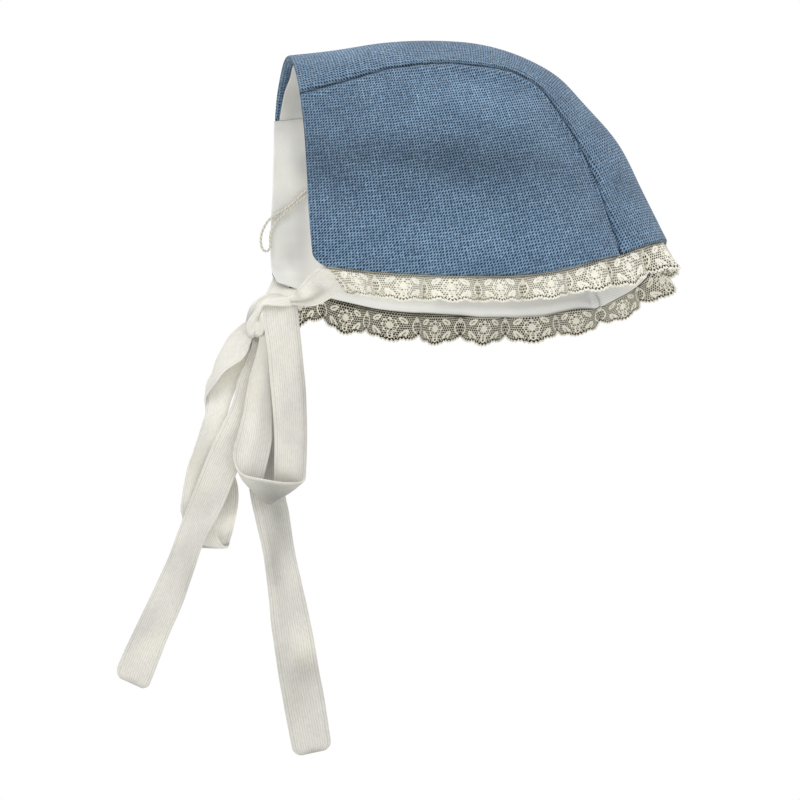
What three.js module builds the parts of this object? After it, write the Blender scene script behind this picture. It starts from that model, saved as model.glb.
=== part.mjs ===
// A newborn's bonnet, in millimetres. +X runs from the face to the back of the head, +Y to the wearer's
// right and +Z up. The origin is the top of the head, where it touches the lining of the crown.
import * as THREE from 'three';

// Driving dimensions.
const OUTER_CLOTH = 1.9; // wall of the coarse blue weave
const LINING_CLOTH = 1.0;
const TAPE_CLOTH = 1.0;
const LACE_CLOTH = 1.0; // room that the gathered lace takes
const GAP = 0.3; // clearance between neighbouring pieces
const SEAM_GAP = 0.5; // the same between the cloth edges that meet in a seam
const LINING_SETBACK = 1.6; // how far the lining stays behind the face edge of the band
const LACE_DROP = 11.5;
const LACE_FLARE = 2.5; // how far the lower edge stands out from the hem
const LACE_RIPPLE = 1.3; // depth of one gather, to each side
const LACE_GATHERS = 30;
const LACE_START = 0.035; // share of the neck edge that each front corner leaves bare, behind the tie
const SIDE_SHARE = 0.37; // share of the neck edge along one side panel
const BACK_REACH = 0.97; // how near the lace at the back of the neck comes to the seams, as a share
const STEPS_PER_GATHER = 5;
const THREAD = 0.9; // diameter of the hanging loop
const SEAM_DEPTH = 0.7; // how far the cloth is drawn in along a seam
const SEAM_REACH = 3.0; // how far from the seam it is still drawn in

// One row per rib, from the face edge to the back of the neck. crown is the rib's top on the centre plane,
// seam is where crown band and side panel meet, and hem is where the rib ends at the neck edge. half is a
// distance from the centre plane. farLift is how much higher the hem of the right side sits.
const RIBS = [
  {
    crownX: -62, crownZ: -6.4, seamX: -60, seamZ: -30.5, seamHalf: 32,
    hemX: -53.5, hemZ: -107, hemHalf: 47, farLift: 13,
  },
  {
    crownX: -44, crownZ: -2.5, seamX: -42.5, seamZ: -25, seamHalf: 32.5,
    hemX: -37, hemZ: -109, hemHalf: 48.5, farLift: 8.5,
  },
  {
    crownX: -22, crownZ: 1.4, seamX: -21, seamZ: -18, seamHalf: 32.5,
    hemX: -17, hemZ: -110, hemHalf: 49, farLift: 4.5,
  },
  {
    crownX: 0, crownZ: 3.3, seamX: 0, seamZ: -15, seamHalf: 32.5,
    hemX: 2, hemZ: -110, hemHalf: 49, farLift: 2.5,
  },
  {
    crownX: 20, crownZ: 2.6, seamX: 17, seamZ: -15.6, seamHalf: 32.5,
    hemX: 19, hemZ: -109.6, hemHalf: 49, farLift: 2.5,
  },
  {
    crownX: 39, crownZ: -1.3, seamX: 31, seamZ: -17.8, seamHalf: 32,
    hemX: 34, hemZ: -108.4, hemHalf: 48.7, farLift: 1.5,
  },
  {
    crownX: 54, crownZ: -8.8, seamX: 42, seamZ: -24.3, seamHalf: 31.5,
    hemX: 46, hemZ: -106, hemHalf: 47.3, farLift: -0.5,
  },
  {
    crownX: 66.5, crownZ: -20.8, seamX: 50.5, seamZ: -35.5, seamHalf: 31.5,
    hemX: 55.5, hemZ: -103, hemHalf: 44.8, farLift: -3,
  },
  {
    crownX: 78.5, crownZ: -35.5, seamX: 58.5, seamZ: -48.5, seamHalf: 31.5,
    hemX: 63, hemZ: -100, hemHalf: 41.8, farLift: -5,
  },
  {
    crownX: 87.5, crownZ: -49, seamX: 65, seamZ: -63.5, seamHalf: 32.2,
    hemX: 69.2, hemZ: -97.4, hemHalf: 38.6, farLift: -7,
  },
  {
    crownX: 96.5, crownZ: -67, seamX: 70.2, seamZ: -79.5, seamHalf: 33,
    hemX: 72.8, hemZ: -95.8, hemHalf: 36, farLift: -8.5,
  },
  {
    crownX: 103.5, crownZ: -81, seamX: 75.2, seamZ: -94, seamHalf: 34,
    hemX: 75.2, hemZ: -94.6, hemHalf: 34, farLift: -9.5,
  },
];
const LAST_RIB = RIBS.length - 1;
const FACE_RIB_PITCH = 18; // distance between the ribs next to the face edge
const PANEL_END = LAST_RIB - 0.35; // the side panels end in a narrow corner here
const HEM_TUCK = 0.15; // share of a rib's outward lean that turns inward at the hem
const FAR_FORWARD = 0.6; // how far the right side also moves forward, per unit of its lift
const FAR_SIDE = { from: -6, to: 30 }; // across the crown, where the lift sets in and is complete
const FAR_HEIGHT = { top: 5, bottom: -100 }; // up and down, where the lift is nothing and complete
const BAND_STEPS = { along: 18, across: 14 };
const PANEL_STEPS = { along: 18, down: 12, finerAtBack: 1.15, finerAtSeam: 1.25 };
const HEAD_CENTRE = new THREE.Vector3(15, 0, -65);
const RIB_NUDGE = 0.05; // step for a direction along the seam, in ribs
const NUDGE = 0.004; // step for a surface's normal

// The tapes. Each row is one line across a tape, given by its two selvedges, from the hem or the knot on.
const TAPES = {
  tie_left: [
    { ax: -53.5, ay: -44.3, az: -108.2, bx: -42.8, by: -45.2, bz: -109.6 },
    { ax: -57, ay: -38, az: -109.7, bx: -44.6, by: -38, bz: -116 },
    { ax: -58.6, ay: -28, az: -110.7, bx: -48.3, by: -29, bz: -117.3 },
    { ax: -59.4, ay: -18.5, az: -111.3, bx: -53.7, by: -20, bz: -116.9 },
    { ax: -60, ay: -11, az: -111.4, bx: -57, by: -11.5, bz: -115.4 },
    { ax: -61.4, ay: -8.6, az: -112, bx: -59.2, by: -8, bz: -114.8 },
  ],
  tie_right: [
    { ax: -61.8, ay: 44.5, az: -95.3, bx: -50.8, by: 45.5, bz: -98.4 },
    { ax: -65.2, ay: 38, az: -100.3, bx: -53.5, by: 38, bz: -102.1 },
    { ax: -68.5, ay: 28, az: -106.4, bx: -57.3, by: 28, bz: -105.6 },
    { ax: -71.4, ay: 18, az: -110.6, bx: -62.9, by: 18, bz: -108.2 },
    { ax: -72.5, ay: 10, az: -113.5, bx: -66.5, by: 10.3, bz: -111 },
  ],
  bow_loop_aft: [
    { ax: -71.4, ay: -10.8, az: -116.5, bx: -58.7, by: -10.8, bz: -115.5 },
    { ax: -71.2, ay: -11.5, az: -127, bx: -57.5, by: -11, bz: -126.7 },
    { ax: -70.1, ay: -11.5, az: -138, bx: -56.2, by: -11, bz: -137.6 },
    { ax: -68.9, ay: -11, az: -149, bx: -54.9, by: -11, bz: -148.6 },
    { ax: -67.8, ay: -11, az: -163, bx: -53.9, by: -10, bz: -162.3 },
    { ax: -67.3, ay: -11.3, az: -177.5, bx: -53.7, by: -9, bz: -176.8 },
    { ax: -67.1, ay: -11.5, az: -187, bx: -54.1, by: -8, bz: -186.8 },
    { ax: -67.4, ay: -11, az: -190.4, bx: -55.6, by: -5, bz: -191 },
    { ax: -68.3, ay: -10.7, az: -192, bx: -59.8, by: -2, bz: -196.1 },
    { ax: -69.4, ay: -10.5, az: -192.6, bx: -67.2, by: -1, bz: -199 },
    { ax: -70.5, ay: -10.5, az: -191.8, bx: -75.3, by: -2, bz: -195.2 },
    { ax: -71.2, ay: -10.5, az: -189.8, bx: -81.6, by: -6, bz: -188 },
    { ax: -71, ay: -10, az: -184.5, bx: -83.7, by: -8, bz: -182.5 },
    { ax: -68.9, ay: -9, az: -176.8, bx: -83.2, by: -8, bz: -175.8 },
    { ax: -67.4, ay: -8, az: -166.5, bx: -81.2, by: -8, bz: -167.3 },
    { ax: -67.3, ay: -7, az: -155.8, bx: -78.6, by: -7, bz: -156.1 },
    { ax: -68.4, ay: -5, az: -145, bx: -76.2, by: -7, bz: -144.2 },
    { ax: -68.5, ay: -2, az: -135.5, bx: -73.3, by: -7, bz: -135.7 },
    { ax: -66.8, ay: 1, az: -122.8, bx: -69.3, by: -6, bz: -122.8 },
  ],
  tail_fore: [
    { ax: -75.4, ay: -3, az: -129.5, bx: -71.2, by: 3, bz: -129.5 },
    { ax: -77.9, ay: -3, az: -138.9, bx: -70, by: 3, bz: -140 },
    { ax: -80.8, ay: -3.5, az: -148.8, bx: -69.8, by: 1, bz: -151.5 },
    { ax: -84.5, ay: -4, az: -160.8, bx: -71.3, by: -2, bz: -165.2 },
    { ax: -89.5, ay: -5, az: -171.7, bx: -75.7, by: -4.5, bz: -176.7 },
    { ax: -95.7, ay: -5, az: -182.3, bx: -82.3, by: -5, bz: -187 },
    { ax: -100.5, ay: -5, az: -196.2, bx: -87.7, by: -6, bz: -200.6 },
    { ax: -106.5, ay: -5, az: -212.6, bx: -95.6, by: -7, bz: -216.3 },
    { ax: -111.8, ay: -5, az: -226.4, bx: -100.4, by: -7, bz: -230.5 },
    { ax: -117, ay: -5, az: -238, bx: -104.3, by: -6, bz: -242.4 },
    { ax: -122.6, ay: -5, az: -250.1, bx: -109.8, by: -5, bz: -255.6 },
    { ax: -129.3, ay: -5, az: -264.9, bx: -115.7, by: -5, bz: -271.3 },
    { ax: -131.3, ay: -5, az: -271.5, bx: -118.1, by: -5, bz: -277.4 },
  ],
  tail_aft: [
    { ax: -70.5, ay: 5.5, az: -122.4, bx: -62, by: 5.5, bz: -120 },
    { ax: -73, ay: 5, az: -130, bx: -63, by: 5.8, bz: -129 },
    { ax: -73.7, ay: 4.5, az: -141.3, bx: -60.6, by: 4.5, bz: -140.9 },
    { ax: -74.8, ay: 4, az: -156.2, bx: -60.5, by: 4, bz: -155.8 },
    { ax: -76, ay: 4, az: -173.2, bx: -61.7, by: 4, bz: -172.9 },
    { ax: -75.9, ay: 3.5, az: -191, bx: -61.2, by: 4, bz: -190.2 },
    { ax: -73.4, ay: 3, az: -204.1, bx: -59, by: 4, bz: -201.9 },
    { ax: -69.9, ay: 3, az: -219.5, bx: -56.4, by: 4, bz: -217.4 },
    { ax: -67.7, ay: 3, az: -234.1, bx: -53.4, by: 4, bz: -231.2 },
    { ax: -66.4, ay: 3, az: -248.6, bx: -50.1, by: 3, bz: -245.8 },
    { ax: -63.8, ay: 3, az: -265.2, bx: -47.1, by: 3, bz: -262.4 },
    { ax: -60.3, ay: 3, az: -284.5, bx: -43.5, by: 3, bz: -281.8 },
    { ax: -56.5, ay: 3, az: -303, bx: -40.7, by: 3, bz: -299.5 },
  ],
  bow_loop_fore: [
    { ax: -78.1, ay: -2, az: -122.5, bx: -77.9, by: -6, bz: -133.9 },
    { ax: -81.8, ay: -3, az: -125.4, bx: -79.5, by: -7, bz: -136.3 },
    { ax: -85.9, ay: -3, az: -130.2, bx: -81.3, by: -7.5, bz: -139.8 },
    { ax: -89.9, ay: -2, az: -137.8, bx: -85.5, by: -7.5, bz: -143.3 },
    { ax: -92.7, ay: 1, az: -146.7, bx: -91, by: -6.5, bz: -148.8 },
    { ax: -94, ay: 7, az: -153.5, bx: -95.2, by: -4, bz: -155 },
    { ax: -91, ay: 11, az: -164, bx: -96.8, by: 3, bz: -164.2 },
    { ax: -85.7, ay: 11, az: -176.6, bx: -97.4, by: 7, bz: -176.2 },
    { ax: -80.7, ay: 10, az: -186.4, bx: -94.6, by: 9, bz: -186 },
    { ax: -79.6, ay: 9, az: -195.3, bx: -93.7, by: 9, bz: -196.1 },
    { ax: -81.1, ay: 8, az: -205.2, bx: -95.4, by: 8, bz: -204.7 },
    { ax: -83.2, ay: 6.5, az: -213, bx: -97.8, by: 6.5, bz: -212.6 },
    { ax: -84.8, ay: 3, az: -217, bx: -99.4, by: 3, bz: -217 },
    { ax: -86.2, ay: -0.5, az: -214.4, bx: -100.8, by: -0.5, bz: -214 },
    { ax: -88, ay: -2, az: -205, bx: -102.9, by: -2, bz: -204.4 },
    { ax: -89.1, ay: -2, az: -189.2, bx: -102.4, by: -2, bz: -188.3 },
    { ax: -90.1, ay: 1, az: -174.9, bx: -100, by: -2, bz: -175.2 },
    { ax: -87.5, ay: 3, az: -163.1, bx: -95, by: -1.5, bz: -164 },
    { ax: -83, ay: 3, az: -152.4, bx: -91.6, by: 0.5, bz: -153 },
    { ax: -79.9, ay: 1, az: -145.4, bx: -89, by: 3, bz: -143.2 },
    { ax: -77.1, ay: 0.3, az: -138.8, bx: -82.6, by: 3.5, bz: -134.4 },
    { ax: -75.6, ay: 0.7, az: -132.4, bx: -78.6, by: 4, bz: -127 },
  ],
};
const STEPS_PER_TAPE_ROW = 2;

// The knot, from its right end to the stub at its lower left: centre, half height across its path, half depth.
const KNOT = [
  { x: -58.8, z: -113.2, across: 2.6, deep: 4.5 },
  { x: -62, z: -113.4, across: 5.2, deep: 8.4 },
  { x: -67, z: -114.5, across: 6.6, deep: 9.9 },
  { x: -71.5, z: -117, across: 6.2, deep: 9 },
  { x: -74, z: -121.5, across: 4, deep: 6.8 },
  { x: -74.3, z: -127, across: 2.8, deep: 4 },
];
const KNOT_SIDES = 14;
const STEPS_PER_KNOT_ROW = 2;
const KNOT_CAP = 0.6; // how far an end bulges, per half height

// Middle line of the hanging loop's thread: out along the lining of the right side, past the face edge
// and back to the lining.
const THREAD_ROUTE = [
  { x: -37.4, y: 37.4, z: -46.7 },
  { x: -40, y: 37.7, z: -49 },
  { x: -42.6, y: 38, z: -51.2 },
  { x: -47.8, y: 38.4, z: -54.9 },
  { x: -51.2, y: 38.8, z: -58 },
  { x: -54.6, y: 39.3, z: -61.6 },
  { x: -59, y: 39.7, z: -64.6 },
  { x: -62.4, y: 39.9, z: -67.1 },
  { x: -64.3, y: 40, z: -68.9 },
  { x: -65.9, y: 40.2, z: -71.6 },
  { x: -67, y: 40.5, z: -74.6 },
  { x: -67.3, y: 40.8, z: -78.1 },
  { x: -66.5, y: 41, z: -81.1 },
  { x: -64.8, y: 41.1, z: -82.1 },
  { x: -63.4, y: 41.1, z: -80.8 },
  { x: -63.1, y: 41, z: -78.4 },
  { x: -63.2, y: 40.8, z: -75.8 },
  { x: -62.6, y: 40.5, z: -72.6 },
  { x: -60.3, y: 40.3, z: -68.8 },
  { x: -56.7, y: 39.8, z: -64.9 },
  { x: -52, y: 39.4, z: -60.6 },
  { x: -47.3, y: 38.9, z: -57 },
  { x: -42.5, y: 38.6, z: -53.3 },
  { x: -38.2, y: 38.3, z: -50.1 },
];
const THREAD_SIDES = 8;
const THREAD_STEPS = 50;

const point = (x, y, z) => new THREE.Vector3(x, y, z);
const smooth = (from, to, value) => THREE.MathUtils.smoothstep(value, from, to);

// Row values at a fractional row number, on a Catmull-Rom curve through the rows.
function between(rows, at) {
  const last = rows.length - 1;
  const row = Math.min(Math.max(Math.floor(at), 0), last - 1);
  const t = at - row;
  const [before, start, end, after] = [row - 1, row, row + 1, row + 2].map(
    (index) => rows[Math.min(Math.max(index, 0), last)],
  );
  const value = {};
  for (const column of Object.keys(start)) {
    const [p, q, r, s] = [before[column], start[column], end[column], after[column]];
    value[column] = q + 0.5 * t * (r - p + t * (2 * p - 5 * q + 4 * r - s + t * (3 * (q - r) + s - p)));
  }
  return value;
}

// The right side of the hat has ridden up at the face and dropped at the neck.
function ridden(place, lift) {
  const down = THREE.MathUtils.inverseLerp(FAR_HEIGHT.top, FAR_HEIGHT.bottom, place.z);
  const share = smooth(FAR_SIDE.from, FAR_SIDE.to, place.y) * THREE.MathUtils.clamp(down, 0, 1);
  return place.add(point(-FAR_FORWARD * lift * share, 0, lift * share));
}

// The circular arc that a rib follows over the head: up is its direction on the centre plane and reach
// the angle from there to a seam.
function ribArc(row) {
  const up = point(row.crownX - row.seamX, 0, row.crownZ - row.seamZ);
  const height = up.length();
  const radius = (row.seamHalf ** 2 + height ** 2) / (2 * height);
  const reach = Math.atan2(row.seamHalf, radius - height);
  return { up: up.normalize(), radius, reach };
}

// Outside of the crown band. across runs from -1 (left seam) to 1 (right seam).
function bandPoint(rib, across) {
  const row = between(RIBS, rib);
  const { up, radius, reach } = ribArc(row);
  const turn = reach * across;
  const place = point(row.seamX, radius * Math.sin(turn), row.seamZ);
  place.addScaledVector(up, radius * (Math.cos(turn) - Math.cos(reach)));
  return ridden(place, row.farLift);
}

// Outside of a side panel: a Hermite curve from the seam, where it leaves along the band's own surface,
// to the hem, where it hangs nearly straight down. side is -1 (left) or 1 (right).
function panelPoint(rib, down, side) {
  const row = between(RIBS, rib);
  const seam = point(row.seamX, row.seamHalf, row.seamZ);
  const hem = point(row.hemX, row.hemHalf, row.hemZ);
  const [before, after] = [between(RIBS, rib - RIB_NUDGE), between(RIBS, rib + RIB_NUDGE)];
  const along = point(after.seamX - before.seamX, after.seamHalf - before.seamHalf, after.seamZ - before.seamZ);
  const { up, reach } = ribArc(row);
  const over = up.multiplyScalar(-Math.sin(reach)).add(point(0, Math.cos(reach), 0));
  const outward = along.cross(over).normalize();
  const fall = hem.clone().sub(seam);
  const length = fall.length();
  const leave = fall.clone().addScaledVector(outward, -fall.dot(outward)).setLength(length);
  const arrive = point(fall.x, -HEM_TUCK * fall.y, fall.z).setLength(length);
  const [t, u] = [down, 1 - down];
  const place = point(0, 0, 0)
    .addScaledVector(seam, u * u * (1 + 2 * t))
    .addScaledVector(leave, t * u * u)
    .addScaledVector(arrive, -t * t * u)
    .addScaledVector(hem, t * t * (3 - 2 * t));
  place.y *= side;
  return ridden(place, row.farLift);
}

// A surface point moved inward by depth, square to the surface. surface takes two parameters.
function inset(surface, p, q, depth) {
  const alongP = surface(p + NUDGE, q).sub(surface(p - NUDGE, q));
  const alongQ = surface(p, q + NUDGE).sub(surface(p, q - NUDGE));
  const place = surface(p, q);
  const normal = alongP.cross(alongQ).normalize();
  if (normal.dot(place.clone().sub(HEAD_CENTRE)) < 0) normal.negate();
  return place.addScaledVector(normal, -depth);
}

// A closed wall from two grids of points of the same size, one for each face.
function wall(upper, lower) {
  const [rows, columns] = [upper.length, upper[0].length];
  const positions = [...upper.flat(), ...lower.flat()].flatMap((place) => place.toArray());
  const index = [];
  const at = (face, row, column) => face * rows * columns + row * columns + column;
  const quad = (a, b, c, d) => index.push(a, b, c, a, c, d);
  for (let row = 0; row < rows - 1; row += 1) {
    for (let column = 0; column < columns - 1; column += 1) {
      quad(at(0, row, column), at(0, row + 1, column), at(0, row + 1, column + 1), at(0, row, column + 1));
      quad(at(1, row, column), at(1, row, column + 1), at(1, row + 1, column + 1), at(1, row + 1, column));
    }
  }
  for (let row = 0; row < rows - 1; row += 1) {
    quad(at(0, row, 0), at(1, row, 0), at(1, row + 1, 0), at(0, row + 1, 0));
    const end = columns - 1;
    quad(at(0, row, end), at(0, row + 1, end), at(1, row + 1, end), at(1, row, end));
  }
  for (let column = 0; column < columns - 1; column += 1) {
    quad(at(0, 0, column), at(0, 0, column + 1), at(1, 0, column + 1), at(1, 0, column));
    const end = rows - 1;
    quad(at(0, end, column), at(1, end, column), at(1, end, column + 1), at(0, end, column + 1));
  }
  return facingOut(positions, index);
}

// The geometry with its triangles turned so that they enclose a positive volume.
function facingOut(positions, index) {
  let volume = 0;
  for (let corner = 0; corner < index.length; corner += 3) {
    const [a, b, c] = index
      .slice(corner, corner + 3)
      .map((vertex) => point(...positions.slice(3 * vertex, 3 * vertex + 3)));
    volume += a.dot(b.cross(c));
  }
  const geometry = new THREE.BufferGeometry();
  geometry.setAttribute('position', new THREE.Float32BufferAttribute(positions, 3));
  geometry.setIndex(volume > 0 ? index : index.reverse());
  geometry.computeVertexNormals();
  return geometry;
}

const range = (from, to, steps) =>
  Array.from({ length: steps + 1 }, (_, step) => from + ((to - from) * step) / steps);

// One layer of cloth between two depths under the outside surface. seamAt gives how near a point is to a
// seam, in millimetres, where the cloth is drawn in.
function layer(surface, ribs, shares, top, thickness, seamAt) {
  const face = (depth) =>
    ribs.map((rib) =>
      shares.map((share) => {
        const pulled = SEAM_DEPTH * Math.exp(-((seamAt(rib, share) / SEAM_REACH) ** 2));
        return inset(surface, rib, share, depth + pulled);
      }),
    );
  return wall(face(top), face(top + thickness));
}

function bandLayer(top, thickness, start) {
  const arc = (rib) => {
    const { radius, reach } = ribArc(between(RIBS, rib));
    return radius * reach;
  };
  const surface = (rib, across) => bandPoint(rib, across * (1 - SEAM_GAP / 2 / arc(rib)));
  const ribs = range(0, LAST_RIB, BAND_STEPS.along).map((rib) => Math.max(rib, start));
  const shares = range(-1, 1, BAND_STEPS.across);
  const seamAt = (rib, share) => arc(rib) * (1 - Math.abs(share));
  return layer(surface, ribs, shares, top, thickness, seamAt);
}

function panelLayer(side, top, thickness) {
  const length = (rib) => panelPoint(rib, 0, side).distanceTo(panelPoint(rib, 1, side));
  const surface = (rib, down) => {
    const first = SEAM_GAP / 2 / length(rib);
    return panelPoint(rib, first + (1 - first) * down, side);
  };
  const ribs = range(0, 1, PANEL_STEPS.along).map(
    (share) => PANEL_END * (1 - (1 - share) ** PANEL_STEPS.finerAtBack),
  );
  const shares = range(0, 1, PANEL_STEPS.down).map((share) => share ** PANEL_STEPS.finerAtSeam);
  const seamAt = (rib, share) => length(rib) * share;
  return layer(surface, ribs, shares, top, thickness, seamAt);
}

// The neck edge from the left front corner round the back to the right one: share runs from 0 to 1.
// place is between outer cloth and lining, normal points out of the cloth and hang is where lace falls.
function neckEdge(share) {
  const back = Math.abs(share - 0.5) < 0.5 - SIDE_SHARE;
  const side = share < 0.5 ? -1 : 1;
  const surface = back ? bandPoint : (rib, down) => panelPoint(rib, down, side);
  const across = THREE.MathUtils.clamp((share - 0.5) / (0.5 - SIDE_SHARE), -BACK_REACH, BACK_REACH);
  const [p, q] = back ? [LAST_RIB, across] : [(PANEL_END * Math.min(share, 1 - share)) / SIDE_SHARE, 1];
  const depth = OUTER_CLOTH + GAP / 2;
  const place = inset(surface, p, q, depth);
  const normal = inset(surface, p, q, depth - 1).sub(place);
  const above = back ? inset(surface, p - 0.02, q, depth) : inset(surface, p, q - 0.01, depth);
  const hang = place.clone().sub(above).normalize().add(point(0, 0, -1)).normalize();
  return { place, normal, hang, outward: point(normal.x, normal.y, 0).normalize() };
}

function laceTrim() {
  const stations = range(LACE_START, 1 - LACE_START, LACE_GATHERS * STEPS_PER_GATHER);
  const face = (offset) =>
    stations.map((share) =>
      [0, 1].map((drop) => {
        const { place, normal, hang, outward } = neckEdge(share);
        const ripple = LACE_RIPPLE * Math.sin(2 * Math.PI * LACE_GATHERS * share);
        return place
          .addScaledVector(normal, offset * LACE_CLOTH)
          .addScaledVector(hang, GAP + LACE_DROP * drop)
          .addScaledVector(outward, (LACE_FLARE + ripple) * drop);
      }),
    );
  return wall(face(0.5), face(-0.5));
}

function tape(rows) {
  const stations = range(0, rows.length - 1, (rows.length - 1) * STEPS_PER_TAPE_ROW);
  const lines = stations.map((at) => {
    const row = between(rows, at);
    return [point(row.ax, row.ay, row.az), point(row.bx, row.by, row.bz)];
  });
  const middles = lines.map(([a, b]) => a.clone().add(b).multiplyScalar(0.5));
  const face = (offset) =>
    lines.map(([a, b], station) => {
      const from = middles[Math.max(station - 1, 0)];
      const to = middles[Math.min(station + 1, middles.length - 1)];
      const normal = to.clone().sub(from).cross(b.clone().sub(a)).normalize();
      return [a, b].map((edge) => edge.clone().addScaledVector(normal, offset * TAPE_CLOTH));
    });
  return wall(face(0.5), face(-0.5));
}

// A solid lofted through rounded cross-sections, closed at both ends by a point.
function knot() {
  const sections = range(0, KNOT.length - 1, (KNOT.length - 1) * STEPS_PER_KNOT_ROW).map((at) => {
    const row = between(KNOT, at);
    const [from, to] = [between(KNOT, at - NUDGE), between(KNOT, at + NUDGE)];
    const along = point(to.x - from.x, 0, to.z - from.z).normalize();
    return { ...row, centre: point(row.x, 0, row.z), along, over: point(along.z, 0, -along.x) };
  });
  const ring = ({ centre, over, across, deep }) =>
    range(0, 2 * Math.PI, KNOT_SIDES)
      .slice(0, -1)
      .map((turn) =>
        centre
          .clone()
          .addScaledVector(over, across * Math.cos(turn))
          .add(point(0, deep * Math.sin(turn), 0)),
      );
  const tip = ({ centre, along, across }, way) =>
    centre.clone().addScaledVector(along, way * KNOT_CAP * across);
  const end = sections.length - 1;
  const places = [...sections.flatMap(ring), tip(sections[0], -1), tip(sections[end], 1)];
  const index = [];
  const at = (section, side) => section * KNOT_SIDES + (side % KNOT_SIDES);
  for (let side = 0; side < KNOT_SIDES; side += 1) {
    for (let section = 0; section < end; section += 1) {
      const [a, b] = [at(section, side), at(section, side + 1)];
      const [c, d] = [at(section + 1, side + 1), at(section + 1, side)];
      index.push(a, b, c, a, c, d);
    }
    index.push(places.length - 2, at(0, side + 1), at(0, side));
    index.push(places.length - 1, at(end, side), at(end, side + 1));
  }
  return facingOut(
    places.flatMap((place) => place.toArray()),
    index,
  );
}

function hangLoop() {
  const route = new THREE.CatmullRomCurve3(THREAD_ROUTE.map((row) => point(row.x, row.y, row.z)));
  const section = new THREE.Shape(
    range(0, 2 * Math.PI, THREAD_SIDES)
      .slice(0, -1)
      .map((turn) => new THREE.Vector2(Math.cos(turn), Math.sin(turn)).multiplyScalar(THREAD / 2)),
  );
  return new THREE.ExtrudeGeometry(section, { steps: THREAD_STEPS, extrudePath: route });
}

const BLUE = { color: 0x5c7fab, roughness: 0.9, metalness: 0 };
const WHITE = { color: 0xe9e7df, roughness: 0.85, metalness: 0 };
const CREAM = { color: 0xcfc8b4, roughness: 0.9, metalness: 0 };

const group = new THREE.Group();

function add(name, geometry, finish) {
  const mesh = new THREE.Mesh(geometry, new THREE.MeshStandardMaterial(finish));
  mesh.name = name;
  group.add(mesh);
}

const LINING_TOP = OUTER_CLOTH + GAP;
const BAND_START = LINING_SETBACK / FACE_RIB_PITCH;

add('crown_band', bandLayer(0, OUTER_CLOTH, 0), BLUE);
add('side_panel_left', panelLayer(-1, 0, OUTER_CLOTH), BLUE);
add('side_panel_right', panelLayer(1, 0, OUTER_CLOTH), BLUE);
add('lining_band', bandLayer(LINING_TOP, LINING_CLOTH, BAND_START), WHITE);
add('lining_left', panelLayer(-1, LINING_TOP, LINING_CLOTH), WHITE);
add('lining_right', panelLayer(1, LINING_TOP, LINING_CLOTH), WHITE);
add('lace_trim', laceTrim(), CREAM);
add('bow_knot', knot(), WHITE);
for (const [name, rows] of Object.entries(TAPES)) add(name, tape(rows), WHITE);
add('hang_loop', hangLoop(), WHITE);

export default group;
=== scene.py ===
"""A newborn's bonnet in coarse blue weave, held in shape as on a head and tied in a bow.

The hat is three panels of open weave (a crown band and two sides) over a smooth twill lining, with a
gathered lace edging round the neck edge, cotton tape ties in a bow and a thread loop inside the face
opening. Lengths are in millimetres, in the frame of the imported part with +X to the back of the head, +Y
to the wearer's right and +Z up, until a mesh is made. Meshes and the stage are in metres.
"""

from __future__ import annotations

import logging
import math
from dataclasses import dataclass, field
from enum import Enum
from functools import partial
from typing import Any, Callable, Mapping, Sequence

import bpy
import numpy as np
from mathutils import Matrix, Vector

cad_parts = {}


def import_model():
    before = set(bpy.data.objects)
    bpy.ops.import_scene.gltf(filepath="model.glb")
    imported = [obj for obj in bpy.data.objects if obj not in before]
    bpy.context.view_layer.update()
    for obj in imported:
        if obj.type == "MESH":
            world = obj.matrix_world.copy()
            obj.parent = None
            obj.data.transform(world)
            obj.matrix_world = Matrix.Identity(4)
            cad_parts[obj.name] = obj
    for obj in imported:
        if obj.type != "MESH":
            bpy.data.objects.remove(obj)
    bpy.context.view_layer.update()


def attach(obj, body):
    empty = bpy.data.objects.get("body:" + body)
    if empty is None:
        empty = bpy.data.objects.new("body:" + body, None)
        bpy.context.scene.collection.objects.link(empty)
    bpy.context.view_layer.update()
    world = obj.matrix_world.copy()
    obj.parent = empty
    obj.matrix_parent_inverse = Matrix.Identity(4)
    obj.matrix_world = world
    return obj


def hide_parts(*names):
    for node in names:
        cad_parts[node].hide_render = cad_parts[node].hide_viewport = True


LOG = logging.getLogger("bonnet")
METRE = 0.001  # one millimetre, in metres
FULL_TURN = 2 * math.pi
Array = np.ndarray
Surface = Callable[[Array, Array], Array]
Piece = bpy.types.Object
Tree = bpy.types.NodeTree
Socket = bpy.types.NodeSocket
Pair = tuple[float, float]
Triple = tuple[float, float, float]
Stops = Sequence[tuple[float, str]]
TINY = 1e-12  # keeps a length of 0 from being divided by
EDGE_LINES = 5  # grid lines round a cloth's rounded edge
WAVES = 7  # sine waves that make an undulation
WAVE_SPREAD = (0.7, 1.5)  # the shortest and longest of them, against its wavelength

# ---------- Curves and surfaces ----------


def smoothstep(low: float, high: float, value: Array) -> Array:
    """An S-curve from 0 at low to 1 at high: 3t^2 - 2t^3 of the clamped share t."""
    share = np.clip((value - low) / (high - low), 0, 1)
    return share * share * (3 - 2 * share)


def bell(distance: Array, reach: float) -> Array:
    """A bump of height 1 at distance 0 that has faded to about a third at reach: exp(-(d/reach)^2)."""
    return np.exp(-((distance / reach) ** 2))


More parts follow.
